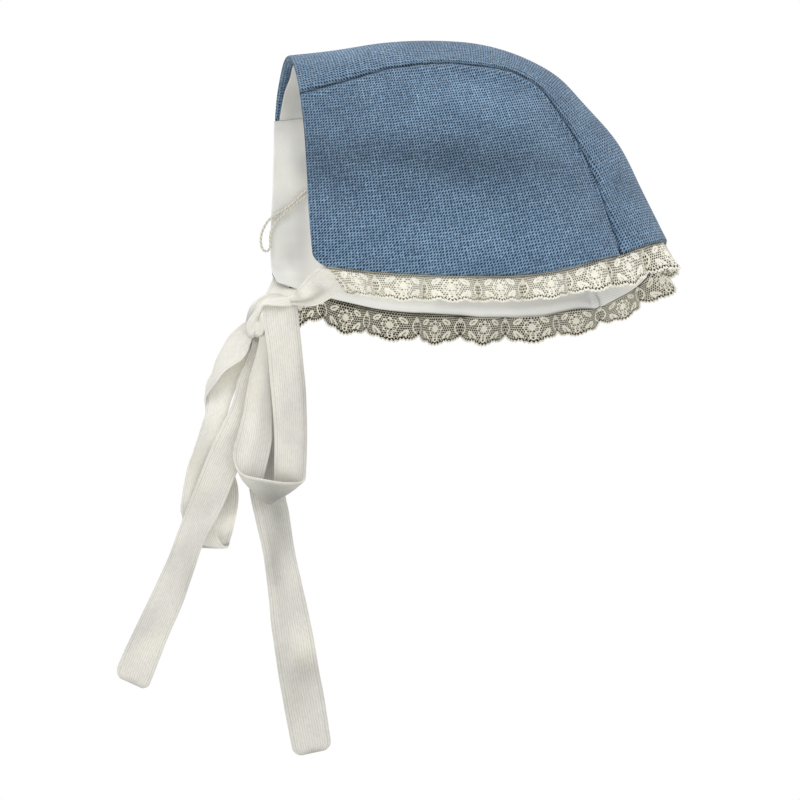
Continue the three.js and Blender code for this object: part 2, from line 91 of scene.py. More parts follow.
def rows_between(table: Array, at: Array) -> Array:
    """Table rows at fractional row numbers, on the Catmull-Rom cubic through the rows, straight beyond them.

    Args:
        table: One row for each station.
        at: Row numbers, of any shape.

    Returns:
        The values, with one more axis than at.
    """
    last = len(table) - 1
    row = np.clip(np.floor(at).astype(int), 0, last - 1)
    share = (at - row)[..., None]
    t = np.clip(share, 0, 1)
    p, q, r, s = (table[np.clip(row + step, 0, last)] for step in (-1, 0, 1, 2))
    cubic = q + 0.5 * t * (r - p + t * (2 * p - 5 * q + 4 * r - s + t * (3 * (q - r) + s - p)))
    return cubic + 0.5 * (share - t) * np.where(share < 0, r - p, s - q)


def unit(vectors: Array) -> Array:
    """The vectors along the last axis, scaled to length 1."""
    return vectors / np.maximum(np.linalg.norm(vectors, axis=-1, keepdims=True), TINY)


def run_lengths(places: Array, axis: int) -> Array:
    """How far along one axis of a grid each point lies, as the running sum of the steps before it."""
    steps = np.linalg.norm(np.diff(places, axis=axis), axis=-1)
    start = np.zeros_like(np.take(steps, [0], axis=axis))
    return np.concatenate([start, np.cumsum(steps, axis=axis)], axis=axis)


def border_shares(length: float, pitch: float, roll: float) -> Array:
    """Grid lines across a cloth, as shares of its length.

    Near both ends they follow a quarter circle of radius roll, so that the edge can be rounded, and
    between them they are evenly spaced.

    Args:
        length: The cloth's length across the lines.
        pitch: Spacing of the even lines.
        roll: Radius of the rounded edge.

    Returns:
        Rising shares from 0 to 1.
    """
    bend = roll * (1 - np.cos(np.linspace(0, math.pi / 2, EDGE_LINES)))
    even = np.linspace(roll, length - roll, max(2, round((length - 2 * roll) / pitch) + 1))
    return np.concatenate([bend[:-1], even, length - bend[-2::-1]]) / length


def undulation(places: Array, wavelength: float, seed: int) -> Array:
    """Smooth seeded unevenness between about -1 and 1: the mean of sine waves in random directions.

    Args:
        places: Points, with x, y and z along the last axis.
        wavelength: Typical distance between crests.
        seed: Start of the random draws.

    Returns:
        One value for each point.
    """
    draws = np.random.default_rng(seed)
    total = np.zeros(places.shape[:-1])
    for _ in range(WAVES):
        direction = unit(draws.normal(size=3))
        turns = places @ direction / (wavelength * draws.uniform(*WAVE_SPREAD))
        total += np.sin(FULL_TURN * (turns + draws.uniform()))
    return total / (WAVES / 2)


@dataclass(frozen=True)
class Edges:
    """Distances from each point of a grid to its four borders."""

    first_row: Array
    last_row: Array
    first_column: Array
    last_column: Array

    @classmethod
    def of(cls, places: Array) -> "Edges":
        """Measures along the grid's own lines."""
        down, across = run_lengths(places, 0), run_lengths(places, 1)
        return cls(down, down[-1:] - down, across, across[:, -1:] - across)

    def nearest(self) -> Array:
        """Distance to whichever border is nearest."""
        return np.minimum.reduce([self.first_row, self.last_row, self.first_column, self.last_column])


def flat_size(places: Array) -> Triple:
    """A cloth's greatest width and length along its grid, in metres, and its area in square metres."""
    edges = Edges.of(places)
    width = float(np.max(edges.first_column[:, -1])) * METRE
    length = float(np.max(edges.first_row[-1])) * METRE
    crossed = np.cross(places[1:, 1:] - places[:-1, :-1], places[:-1, 1:] - places[1:, :-1])
    return width, length, float(np.linalg.norm(crossed, axis=-1).sum()) / 2 * METRE**2


def grid_normals(places: Array, away_from: Array | None = None) -> Array:
    """Unit normals of a grid of points: the cross product of its two directions.

    Args:
        places: A grid of points.
        away_from: A point that the normals face away from, on the whole.

    Returns:
        One normal for each point.
    """
    normals = unit(np.cross(np.gradient(places, axis=0), np.gradient(places, axis=1)))
    if away_from is not None and np.sum(normals * (places - away_from)) < 0:
        normals = -normals
    return normals


def rolled(distance: Array, thickness: Array | float, roll: float) -> Array:
    """Half of a cloth's thickness at a distance from its border, where its edge is a half ellipse."""
    share = 1 - np.clip(distance / roll, 0, 1)
    return thickness / 2 * np.sqrt(1 - share**2)


# ---------- Meshes ----------


def make_piece(
    name: str,
    places: Array,
    faces: Array,
    maps: Mapping[str, Array] | None = None,
    values: Mapping[str, Array] | None = None,
) -> Piece:
    """Makes a smooth quad mesh and its object, at the origin.

    Args:
        name: The piece's name.
        places: Vertices, n x 3, in millimetres.
        faces: Vertex numbers, m x 4.
        maps: UV maps by name, each n x 2, in metres.
        values: Number attributes by name, each n long.

    Returns:
        The object, linked to the scene.
    """
    mesh = bpy.data.meshes.new(name)
    mesh.vertices.add(len(places))
    mesh.vertices.foreach_set("co", (places * METRE).astype(np.float32).ravel())
    mesh.loops.add(faces.size)
    mesh.loops.foreach_set("vertex_index", faces.astype(np.int32).ravel())
    mesh.polygons.add(len(faces))
    mesh.polygons.foreach_set("loop_start", np.arange(0, faces.size, 4, dtype=np.int32))
    mesh.update(calc_edges=True)
    mesh.shade_smooth()
    for title, flat in (maps or {}).items():
        layer = mesh.uv_layers.new(name=title)
        layer.uv.foreach_set("vector", flat[faces.ravel()].astype(np.float32).ravel())
    for title, numbers in (values or {}).items():
        layer = mesh.attributes.new(title, "FLOAT", "POINT")
        layer.data.foreach_set("value", numbers.astype(np.float32))
    piece = bpy.data.objects.new(name, mesh)
    bpy.context.scene.collection.objects.link(piece)
    return piece


def grid_quads(ids: Array) -> Array:
    """The quads between neighbouring rows and columns of a grid of vertex numbers."""
    corners = [ids[:-1, :-1], ids[1:, :-1], ids[1:, 1:], ids[:-1, 1:]]
    return np.stack(corners, axis=-1).reshape(-1, 4)


def closed_cloth(
    name: str,
    middle: Array,
    normals: Array,
    half: Array,
    flat: Array,
    values: Mapping[str, Array] | None = None,
) -> Piece:
    """Makes a cloth with two faces that share their border vertices, so that it is closed.

    Args:
        name: The piece's name.
        middle: Grid of points halfway through the cloth.
        normals: Unit normals on that grid.
        half: Half thickness on that grid. The border counts as none.
        flat: Where each point lies in the flat cloth, in millimetres.
        values: Number attributes on the grid. A third axis of two gives each face its own.

    Returns:
        The piece.
    """
    rows, columns = half.shape
    upper = np.arange(rows * columns).reshape(rows, columns)
    inside = np.zeros((rows, columns), bool)
    inside[1:-1, 1:-1] = True
    lower = upper.copy()
    lower[inside] = rows * columns + np.arange(inside.sum())
    lift = normals * np.where(inside, half, 0)[..., None]
    places = np.concatenate([(middle + lift).reshape(-1, 3), (middle - lift)[inside]])
    faces = np.concatenate([grid_quads(upper), grid_quads(lower)[:, ::-1]])
    first = places[faces[: (rows - 1) * (columns - 1)]]
    turned = np.cross(first[:, 2] - first[:, 0], first[:, 3] - first[:, 1])
    if np.sum(turned * normals[:-1, :-1].reshape(-1, 3)) < 0:
        faces = faces[:, ::-1]

    def split(numbers: Array) -> Array:
        """One number for each vertex of the upper face, then of the lower one."""
        pair = np.broadcast_to(numbers[..., None], (rows, columns, 2)) if numbers.ndim == 2 else numbers
        return np.concatenate([pair[..., 0].ravel(), pair[..., 1][inside]])

    cloth = np.stack([split(flat[..., axis] * METRE) for axis in (0, 1)], axis=-1)
    attributes = {title: split(numbers) for title, numbers in (values or {}).items()}
    return make_piece(name, places, faces, {"cloth": cloth}, attributes)


# ---------- Finishes ----------


def colour(code: str) -> tuple[float, float, float, float]:
    """An sRGB hex code as a linear colour: each channel through the sRGB curve."""
    shares = [int(code[at : at + 2], 16) / 255 for at in (1, 3, 5)]
    linear = [v / 12.92 if v <= 0.04045 else ((v + 0.055) / 1.055) ** 2.4 for v in shares]
    return (linear[0], linear[1], linear[2], 1.0)


def add_node(
    tree: Tree,
    kind: str,
    inputs: Mapping[Any, Any] | Sequence[Any] = (),
    out: int | str = 0,
    stops: Stops = (),
    **settings: Any,
) -> Socket | None:
    """Adds one shader node.

    Args:
        tree: The material's node tree.
        kind: The node's type, without the word ShaderNode.
        inputs: For each input, in order or by name or number, a socket to link or a value to set.
        out: Which output is wanted, by name or number.
        stops: A colour ramp's rising stops, each a share and an sRGB hex code.
        settings: The node's own settings.

    Returns:
        That output, if the node has any.
    """
    node = tree.nodes.new("ShaderNode" + kind)
    for title, setting in settings.items():
        setattr(node, title, setting)
    for title, value in inputs.items() if isinstance(inputs, dict) else enumerate(inputs):
        if isinstance(value, Socket):
            tree.links.new(value, node.inputs[title])
        else:
            node.inputs[title].default_value = value
    for number, (position, code) in enumerate(stops):
        elements = node.color_ramp.elements
        element = elements[number] if number < len(elements) else elements.new(position)
        element.position = position
        element.color = colour(code)
    return node.outputs[out] if node.outputs else None


def waves(tree: Tree, along: Socket, pitch: float, kind: str) -> Socket:
    """SINE or COSINE of half a turn for each pitch, of a length in metres along the cloth."""
    turns = add_node(tree, "Math", (along, math.pi / (pitch * METRE)), operation="MULTIPLY")
    return add_node(tree, "Math", (turns,), operation=kind)


def overlaid(tree: Tree, base: Socket, share: Socket, dark: float, light: float) -> Socket:
    """The base colour times a factor that runs from dark to light with share."""
    factor = add_node(tree, "MapRange", {"Value": share, "To Min": dark, "To Max": light})
    return add_node(tree, "VectorMath", {"Vector": base, "Scale": factor}, operation="SCALE")


@dataclass(frozen=True)
class Mottle:
    """Noise that lies in the cloth."""

    size: float  # of its blotches
    dark: float = 1.0  # the factors that it turns a colour's lightness between
    light: float = 1.0
    stretch: Pair = (1.0, 1.0)  # how many times finer it is along each of the cloth's ways
    detail: float = 2.0  # octaves

    def noise(self, tree: Tree) -> Socket:
        """The noise, from 0 to 1."""
        scale = (self.stretch[0] / (self.size * METRE), self.stretch[1] / (self.size * METRE), 1.0)
        cloth = add_node(tree, "UVMap", uv_map="cloth")
        placed = add_node(tree, "Mapping", {"Vector": cloth, "Scale": scale})
        return add_node(tree, "TexNoise", {"Vector": placed, "Scale": 1.0, "Detail": self.detail})


@dataclass(frozen=True)
class Finish:
    """What every finish here shares: a matt fibre surface with a soft sheen at grazing angles."""

    title: str
    slot: str
    depth: float  # of its relief
    roughness: float = 0.9
    sheen: float = 0.2
    sheen_roughness: float = 0.5
    shine: float = 0.25  # the fibres' specular level
    mottles: tuple[Mottle, ...] = ()  # wear and uneven yarn, from fine to coarse
    stain: tuple[Mottle, Stops] | None = None  # a veil of uneven dye or age, which multiplies the colour
    seam_light: float = 1.0  # how light painted shade leaves seams, folds and creases; at 1 no painted light or shade is applied

    def material(self) -> bpy.types.Material:
        """Builds the material: the pattern with its mottles, stain and painted light and shade, and its
        height as bump.
        """
        material = bpy.data.materials.new(self.title)
        material.use_nodes = True
        tree = material.node_tree
        tree.nodes.clear()
        tint, height = self.pattern(tree)
        for mottle in self.mottles:
            tint = overlaid(tree, tint, mottle.noise(tree), mottle.dark, mottle.light)
        if self.stain:
            veil = add_node(tree, "ValToRGB", (self.stain[0].noise(tree),), stops=self.stain[1])
            tint = add_node(tree, "VectorMath", (tint, veil), operation="MULTIPLY")
        # Painted light and shade: one attribute lightens or darkens in patches and along a tape, the seam one
        # paints shade in seams, folds, creases and at the knot
        if self.seam_light < 1:
            for title, dark, light in (("tone", 0.0, 2.0), ("seam", 1.0, self.seam_light)):
                share = add_node(tree, "Attribute", out="Fac", attribute_name=title)
                tint = overlaid(tree, tint, share, dark, light)
        bump = add_node(tree, "Bump", {"Height": height, "Distance": self.depth * METRE, "Strength": 1.0})
        looks = {
            "Base Color": tint,
            "Normal": bump,
            "Roughness": self.roughness,
            "Sheen Weight": self.sheen,
            "Sheen Roughness": self.sheen_roughness,
            "Specular IOR Level": self.shine,
        }
        add_node(tree, "OutputMaterial", {"Surface": add_node(tree, "BsdfPrincipled", looks)})
        return material

    def pattern(self, tree: Tree) -> tuple[Socket, Socket]:
        """The finish's colour, and its height from 0 to 1."""
        raise NotImplementedError


@dataclass(frozen=True)
class OpenWeave(Finish):
    """Heavy wool or cotton plain weave, spun thick and woven loosely.

    Fat soft yarns pass over and under each other and leave a small hole, painted dark as shade, at
    every corner between them, which gives the eye a grid of pinholes in a mottled mid blue.
    """

    title: str = "blue open plain weave"
    slot: str = "outer_weave"
    depth: float = 0.42
    mottles: tuple[Mottle, ...] = (
        Mottle(0.9, 0.6, 1.4, detail=3.0),
        Mottle(1.3, 0.75, 1.25, (1.0, 0.1)),  # thick and thin places along each way's yarns
        Mottle(1.3, 0.75, 1.25, (0.1, 1.0)),
        Mottle(4.5, 0.86, 1.14),
    )
    stain: tuple[Mottle, Stops] = (Mottle(16.0), ((0.34, "#e2e7ee"), (0.66, "#fafcff")))
    seam_light: float = 0.42
    pitch: float = 1.22  # from yarn to yarn
    wander: float = 260.0  # how often the yarns stray, for each metre
    stray: float = 0.7  # how far they stray, in pitches for each unit of noise
    passing: float = 0.4  # the share of a yarn's height that comes from its being on top
    lump: float = 1.5  # length of a thick place in a yarn
    unevenness: float = 0.85  # how much the yarns' thickness varies
    slanting: float = 0.22  # how much the yarns' twist draws the holes out along one diagonal
    stops: Stops = ((0.2, "#122f46"), (0.46, "#355670"), (0.72, "#62809d"), (1.0, "#92adc4"))  # painted shade in a hole and on a yarn's side, the yarn, then a painted highlight on its top

    def pattern(self, tree: Tree) -> tuple[Socket, Socket]:
        """Half from the holes between the yarns, half from which yarn is on top, less a slanting wave.

        With a and b as the sines and c and d as the cosines of half a turn for each yarn along the two
        ways, the holes are 1 - (cd)^2, which is 0 only at the corners between yarns. The yarns are
        the higher of 0.6|a| + 0.4ab and 0.6|b| - 0.4ab, where the sign of ab says which one is on top.
        """
        cloth = add_node(tree, "UVMap", uv_map="cloth")
        noise = add_node(tree, "TexNoise", {"Vector": cloth, "Scale": self.wander, "Detail": 1.0}, out=1)
        centred = add_node(tree, "VectorMath", (noise, (0.5, 0.5, 0.5)), operation="SUBTRACT")
        reach = (self.stray * self.pitch * METRE,) * 3
        strayed = add_node(tree, "VectorMath", (centred, reach, cloth), operation="MULTIPLY_ADD")
        ways = add_node(tree, "SeparateXYZ", (strayed,)).node.outputs[:2]
        a, b = (waves(tree, way, self.pitch, "SINE") for way in ways)
        both = add_node(tree, "Math", (a, b), operation="MULTIPLY")
        yarns = []
        for wave, sign in ((a, 1), (b, -1)):
            size = add_node(tree, "Math", (wave,), operation="ABSOLUTE")
            own = add_node(tree, "Math", (size, 1 - self.passing), operation="MULTIPLY")
            yarns.append(add_node(tree, "Math", (both, sign * self.passing, own), operation="MULTIPLY_ADD"))
        top = add_node(tree, "Math", yarns, operation="MAXIMUM")
        cosines = [waves(tree, way, self.pitch, "COSINE") for way in ways]
        corner = add_node(tree, "Math", cosines, operation="MULTIPLY")
        hole = add_node(tree, "Math", (corner, 2.0), operation="POWER")
        solid = add_node(tree, "Math", (hole, -1.0, 1.0), operation="MULTIPLY_ADD")
        even = add_node(tree, "Mix", {"Factor": 0.5, "A": solid, "B": top})
        slant = add_node(tree, "Math", ways, operation="ADD")
        twist = waves(tree, slant, self.pitch / 2, "COSINE")
        spun = add_node(tree, "Math", (twist, -self.slanting, even), operation="MULTIPLY_ADD")
        lumps = add_node(tree, "Math", (Mottle(self.lump).noise(tree), 0.5), operation="SUBTRACT")
        height = add_node(tree, "Math", (lumps, self.unevenness, spun), operation="MULTIPLY_ADD")
        # The colour follows the height: painted shade low down, painted highlight on top
        return add_node(tree, "ValToRGB", (height,), stops=self.stops), height


@dataclass(frozen=True)
class Twill(Finish):
    """Fine white cotton twill: smooth, with faint slanting lines and a soft satin look."""

    title: str = "white cotton twill"
    slot: str = "lining"
    depth: float = 0.015
    roughness: float = 0.75
    stain: tuple[Mottle, Stops] = (Mottle(15.0), ((0.3, "#eeeeef"), (0.5, "#f9f9f8"), (0.7, "#fffefa")))
    seam_light: float = 0.3
    pitch: float = 0.95  # real twill lines are finer, and this is as fine as the eye can follow
    stops: Stops = ((0.0, "#eeeeec"), (0.6, "#f8f8f6"))  # painted shade in a groove, and a thread

    def pattern(self, tree: Tree) -> tuple[Socket, Socket]:
        """Lines at 45 degrees: the cosine of the sum of both flat directions."""
        cloth = add_node(tree, "UVMap", uv_map="cloth")
        ways = add_node(tree, "SeparateXYZ", (cloth,)).node.outputs[:2]
        slant = add_node(tree, "Math", ways, operation="ADD")
        lines = waves(tree, slant, self.pitch / math.sqrt(2), "COSINE")
        height = add_node(tree, "MapRange", (lines, -1.0, 1.0))
        return add_node(tree, "ValToRGB", (height,), stops=self.stops), height


@dataclass(frozen=True)
class RibbedTape(Finish):
    """Unbleached cotton twill tape: off white, with fine ribs along it and a dry matt face."""

    title: str = "off-white ribbed cotton tape"
    slot: str = "tape"
    depth: float = 0.018
    mottles: tuple[Mottle, ...] = (Mottle(0.8, 0.86, 1.14, (1.0, 0.4), 3.0),)
    stain: tuple[Mottle, Stops] = (
        Mottle(15.0, stretch=(1.0, 0.6)),
        ((0.3, "#e9e8e6"), (0.5, "#f7f6f4"), (0.7, "#fffdf6")),
    )
    seam_light: float = 0.45
    ribs: int = 16
    width: float = 15.0
    thread: float = 0.35  # pitch of the threads across it
    thread_share: float = 0.25  # how high they are against the ribs
    margin: float = 1.3  # how far the painted shade line by each selvedge lies from the edge
    line: float = 0.35  # half that line's width
    # how light the painted shade line leaves the tape
    line_light: float = 0.93
    stops: Stops = ((0.0, "#dddcd4"), (0.55, "#f0efea"))  # painted shade in a valley between ribs, and a crest

    def pattern(self, tree: Tree) -> tuple[Socket, Socket]:
        """Lengthwise ribs crossed by finer threads, both cosines, and a painted shade line by each selvedge.
        """
        cloth = add_node(tree, "UVMap", uv_map="cloth")
        across, along = add_node(tree, "SeparateXYZ", (cloth,)).node.outputs[:2]
        ribs = waves(tree, across, self.width / self.ribs / 2, "COSINE")
        threads = waves(tree, along, self.thread, "COSINE")
        mixed = add_node(tree, "Math", (threads, self.thread_share, ribs), operation="MULTIPLY_ADD")
        most = 1 + self.thread_share
        height = add_node(tree, "MapRange", (mixed, -most, most))
        half = self.width / 2 * METRE
        off = add_node(tree, "Math", (across, half), operation="SUBTRACT")
        side = add_node(tree, "Math", (off,), operation="ABSOLUTE")
        near = (side, half - self.margin * METRE, self.line * METRE)
        near = add_node(tree, "Math", near, operation="COMPARE")
        tint = add_node(tree, "ValToRGB", (height,), stops=self.stops)
        return overlaid(tree, tint, near, 1.0, self.line_light), height


@dataclass(frozen=True)
class LaceThread(Finish):
    """Ecru cotton lace: thick soft thread in the flowers, fine thread in the net between them.

    Its colour is painted light and shade: palest along the threads' tops, brown on their turned-down
    sides and near black in the holes, which are not cut through but only thinner.
    """

    title: str = "ecru cotton lace"
    slot: str = "lace"
    depth: float = 0.16
    roughness: float = 0.95
    mottles: tuple[Mottle, ...] = (Mottle(0.7, 0.8, 1.14), Mottle(6.0, 0.86, 1.1))
    stitches: Mottle = Mottle(0.5, detail=1.0)
    stops: Stops = ((0.1, "#14110c"), (0.4, "#aca58e"), (0.7, "#faf7e9"))  # painted shade in a hole and on a thread's turned-down side, and its top

    def pattern(self, tree: Tree) -> tuple[Socket, Socket]:
        """Colour by the relief attribute, which holds painted shade, with the close stitches of its filled
        areas as height.
        """
        relief = add_node(tree, "Attribute", out="Fac", attribute_name="relief")
        return add_node(tree, "ValToRGB", (relief,), stops=self.stops), self.stitches.noise(tree)


@dataclass(frozen=True)
class SewingThread(Finish):
    """Two-ply cotton thread: matt off white with a fine slanting twist."""

    title: str = "off-white cotton thread"
    slot: str = "thread"
    depth: float = 0.05
    stops: Stops = ((0.0, "#b9b4a4"), (0.7, "#e4e1d6"))  # painted shade between the plies, and the top of them

    def pattern(self, tree: Tree) -> tuple[Socket, Socket]:
        """Colour by how far the surface stands out from between the two plies, with painted shade between
        them.
        """
        relief = add_node(tree, "Attribute", out="Fac", attribute_name="relief")
        return add_node(tree, "ValToRGB", (relief,), stops=self.stops), relief


@dataclass
class Wardrobe:
    """The finishes, each made into a material once and shared by the pieces that wear it."""

    made: dict[str, bpy.types.Material] = field(default_factory=dict)

    def dress(self, piece: Piece, finish: Finish, replaced: str) -> None:
        """Gives a piece its material and its place in the part.

        Args:
            piece: The piece.
            finish: What it is made of.
            replaced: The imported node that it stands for.
        """
        if finish.title not in self.made:
            self.made[finish.title] = finish.material()
        piece.data.materials.append(self.made[finish.title])
        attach(piece, "root")
        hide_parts(replaced)
        LOG.info("%s: %d faces in %s", piece.name, len(piece.data.polygons), finish.title)


# ---------- The hood: outer weave and lining ----------


class Side(Enum):
    """A side of the hat, with its sign along Y."""

    LEFT = -1
    RIGHT = 1

    def of(self, pair: Pair) -> float:
        """This side's one of a pair that is given for the left and the right."""
        return pair[(self.value + 1) // 2]


CROWN_X, CROWN_Z, SEAM_X, SEAM_Z, SEAM_HALF, HEM_X, HEM_Z, HEM_HALF, LIFT = range(9)
SEAM = [SEAM_X, SEAM_HALF, SEAM_Z]  # a rib's columns that give its place at the seam
HEM = [HEM_X, HEM_HALF, HEM_Z]
RIBS = np.array(
    [
        # crown x, z | seam x, z, half | hem x, z, half | lift
        [-62, -7, -60, -30.5, 32, -53.5, -107, 47, 13],
        [-44, -4, -42.5, -25, 32.5, -37, -109, 48.5, 8.5],
        [-22, -0.2, -21, -18, 32.5, -17, -110, 49, 4.5],
        [0, 1.6, 0, -15, 32.5, 2, -110, 49, 2.5],
        [19.8, 0.9, 17, -15.6, 32.5, 19, -109.6, 49, 2.5],
        [38.5, -3.1, 31, -17.8, 32, 34, -108.4, 48.7, 1.5],
        [53, -10.7, 42, -24.3, 31.5, 46, -106, 47.3, -0.5],
        [64.9, -22.3, 50.5, -35.5, 31.5, 55.5, -103, 44.8, -3],
        [76.7, -36.8, 58.5, -48.5, 31.5, 63, -100, 41.8, -5],
        [85.6, -50.1, 65, -63.5, 32.2, 69.2, -97.4, 38.6, -7],
        [94.6, -67.8, 70.2, -79.5, 33, 72.8, -96.2, 36, -8.5],
        [102.6, -82.3, 75.2, -94.8, 34, 75.2, -95.4, 34, -9.5],
    ]
)


@dataclass(frozen=True)
class HoodShape:
    """The outside surface of the hood, laid out in ribs from the face edge to the back of the neck.

    A rib starts on the centre plane at the crown, crosses the seam between crown band and side panel,
    and ends at the neck edge. Its halves are distances from the centre plane, and its lift is how much
    higher the right side's hem sits.
    """

    panel_end: float = 10.65  # the side panels end in a narrow corner at this rib
    hem_tuck: float = 0.15  # share of a rib's outward lean that turns inward at the hem
    far_forward: float = 0.6  # how far the right side also moves forward, per unit of its lift
    far_side: Pair = (-6.0, 30.0)  # where the lift sets in and is complete, across
    far_height: Pair = (5.0, -100.0)  # the same, downwards
    head_centre: Triple = (15.0, 0.0, -65.0)
    nudge: float = 0.004  # step for a surface's normal
    rib_nudge: float = 0.05  # step for a direction along the seam, in ribs
    last_rib: int = len(RIBS) - 1

    def ridden(self, places: Array, lift: Array) -> Array:
        """Moves the right side, which has ridden up at the face and dropped at the neck.

        Each point moves by its rib's lift times a smooth step across and its share of the way down.

        Args:
            places: The points.
            lift: How much higher each rib's hem sits on the right.

        Returns:
            The moved points.
        """
        top, bottom = self.far_height
        down = np.clip((places[..., 2] - top) / (bottom - top), 0, 1)
        share = smoothstep(*self.far_side, places[..., 1]) * down * lift
        return places + np.stack([-self.far_forward * share, np.zeros_like(share), share], axis=-1)

    def arc(self, rows: Array) -> tuple[Array, Array, Array]:
        """The circular arc of each rib over the head, through both seams and the crown.

        Args:
            rows: Rows of the table of ribs.

        Returns:
            Its direction up, its radius (w^2 + h^2) / 2h for half width w and height h, and its half angle.
        """
        rise = rows[..., [CROWN_X, CROWN_Z]] - rows[..., [SEAM_X, SEAM_Z]]
        height = np.linalg.norm(rise, axis=-1)
        up = np.stack([rise[..., 0], 0 * height, rise[..., 1]], axis=-1)
        half = rows[..., SEAM_HALF]
        radius = (half**2 + height**2) / (2 * height)
        return unit(up), radius, np.arctan2(half, radius - height)

    def band(self, rib: Array, across: Array) -> Array:
        """Outside of the crown band: on each rib's arc, at the angle across times its half angle.

        Args:
            rib: Rib numbers.
            across: From -1 at the left seam to 1 at the right seam.

        Returns:
            The points.
        """
        rib, across = np.broadcast_arrays(np.asarray(rib, float), np.asarray(across, float))
        rows = rows_between(RIBS, rib)
        up, radius, reach = self.arc(rows)
        turn = reach * across
        base = np.stack([rows[..., SEAM_X], radius * np.sin(turn), rows[..., SEAM_Z]], axis=-1)
        return self.ridden(base + up * (radius * (np.cos(turn) - np.cos(reach)))[..., None], rows[..., LIFT])

    def panel(self, rib: Array, down: Array, side: Side) -> Array:
        """Outside of a side panel: a Hermite cubic down each rib, from the seam to the hem.

        It leaves the seam along the band's own surface and hangs nearly straight down at the hem.

        Args:
            rib: Rib numbers.
            down: From 0 at the seam to 1 at the hem.
            side: Which side.

        Returns:
            The points.
        """
        rib, down = np.broadcast_arrays(np.asarray(rib, float), np.asarray(down, float))
        rows = rows_between(RIBS, rib)
        seam, hem = rows[..., SEAM], rows[..., HEM]
        step = self.rib_nudge
        before, after = (rows_between(RIBS, rib + way * step)[..., SEAM] for way in (-1, 1))
        up, _, reach = self.arc(rows)
        over = -up * np.sin(reach)[..., None]
        over[..., 1] += np.cos(reach)
        outward = unit(np.cross(after - before, over))
        fall = hem - seam
        length = np.linalg.norm(fall, axis=-1, keepdims=True)
        leave = unit(fall - outward * np.sum(fall * outward, axis=-1, keepdims=True)) * length
        arrive = unit(fall * np.array([1, -self.hem_tuck, 1])) * length
        t = down[..., None]
        u = 1 - t
        places = seam * u * u * (1 + 2 * t) + leave * t * u * u - arrive * t * t * u
        places = (places + hem * t * t * (3 - 2 * t)) * np.array([1, side.value, 1])
        return self.ridden(places, rows[..., LIFT])

    def normals(self, surface: Surface, p: Array, q: Array) -> Array:
        """Unit normals away from the head: the cross product of a surface's small differences.

        Args:
            surface: The surface.
            p: Its first parameter.
            q: Its second parameter.

        Returns:
            One normal for each point.
        """
        step = self.nudge
        along = surface(p + step, q) - surface(p - step, q)
        across = surface(p, q + step) - surface(p, q - step)
        normals = unit(np.cross(along, across))
        facing = np.sum(normals * (surface(p, q) - np.array(self.head_centre)), axis=-1, keepdims=True)
        return np.where(facing < 0, -normals, normals)


@dataclass(frozen=True)
class Layer:
    """How one layer of cloth lies in the hood's wall. Pairs are for the left and right sides."""

    thickness: float
    pitch: float  # spacing of its mesh lines
    roll: float  # radius of its rounded edges
    hem_wander: Array  # share along the right panel's hem, and how much farther it reaches there
    puff: float  # how far it stands up beside a seam
    seam_line: float  # how dark the painted shade along its seams is
    slack: float  # depth of its soft unevenness
    slack_length: float
    seed: int
    patches: Array  # painted light and shade: x, z, reach along x, reach along z, and how much lighter the cloth is painted there
    top: float = 0.0  # depth of its outer face under the hood's outside
    setback: float = 0.0  # how far the band stays behind the face edge at its seams
    crown_setback: float = 0.0  # how much farther it stays behind at the top of the crown
    past_face: Pair = (0.0, 0.0)  # how far the side panels reach past the face edge
    past_hem: Pair = (0.0, 0.0)  # how far they reach past the hem
    tuck: float = 0.0  # how far the side panels run on under the band
    left_patch_weakening: float = 0.0  # how much weaker the painted light and shade of the patches is on the left side
    side_blend: float = 5.0  # how far each side's painted light and shade reaches past the centre plane

    def tone(self, places: Array) -> Array:
        """Half of the cloth's lightness as painted light and shade: 1 plus a bell for each patch."""
        total = np.zeros(places.shape[:-1])
        for x, z, wide, high, lighter in self.patches:
            total += lighter * bell(np.hypot((places[..., 0] - x) / wide, (places[..., 2] - z) / high), 1.0)
        total *= 1 - self.left_patch_weakening * smoothstep(-self.side_blend, self.side_blend, -places[..., 1])
        return np.clip((1 + total) / 2, 0, 1)

    def hem(self, side: Side, shares: Array) -> Array:
        """How far a side panel reaches past the hem at each share along it."""
        wander = np.interp(shares, *self.hem_wander.T) if side is Side.RIGHT else 0 * shares
        return side.of(self.past_hem) + wander


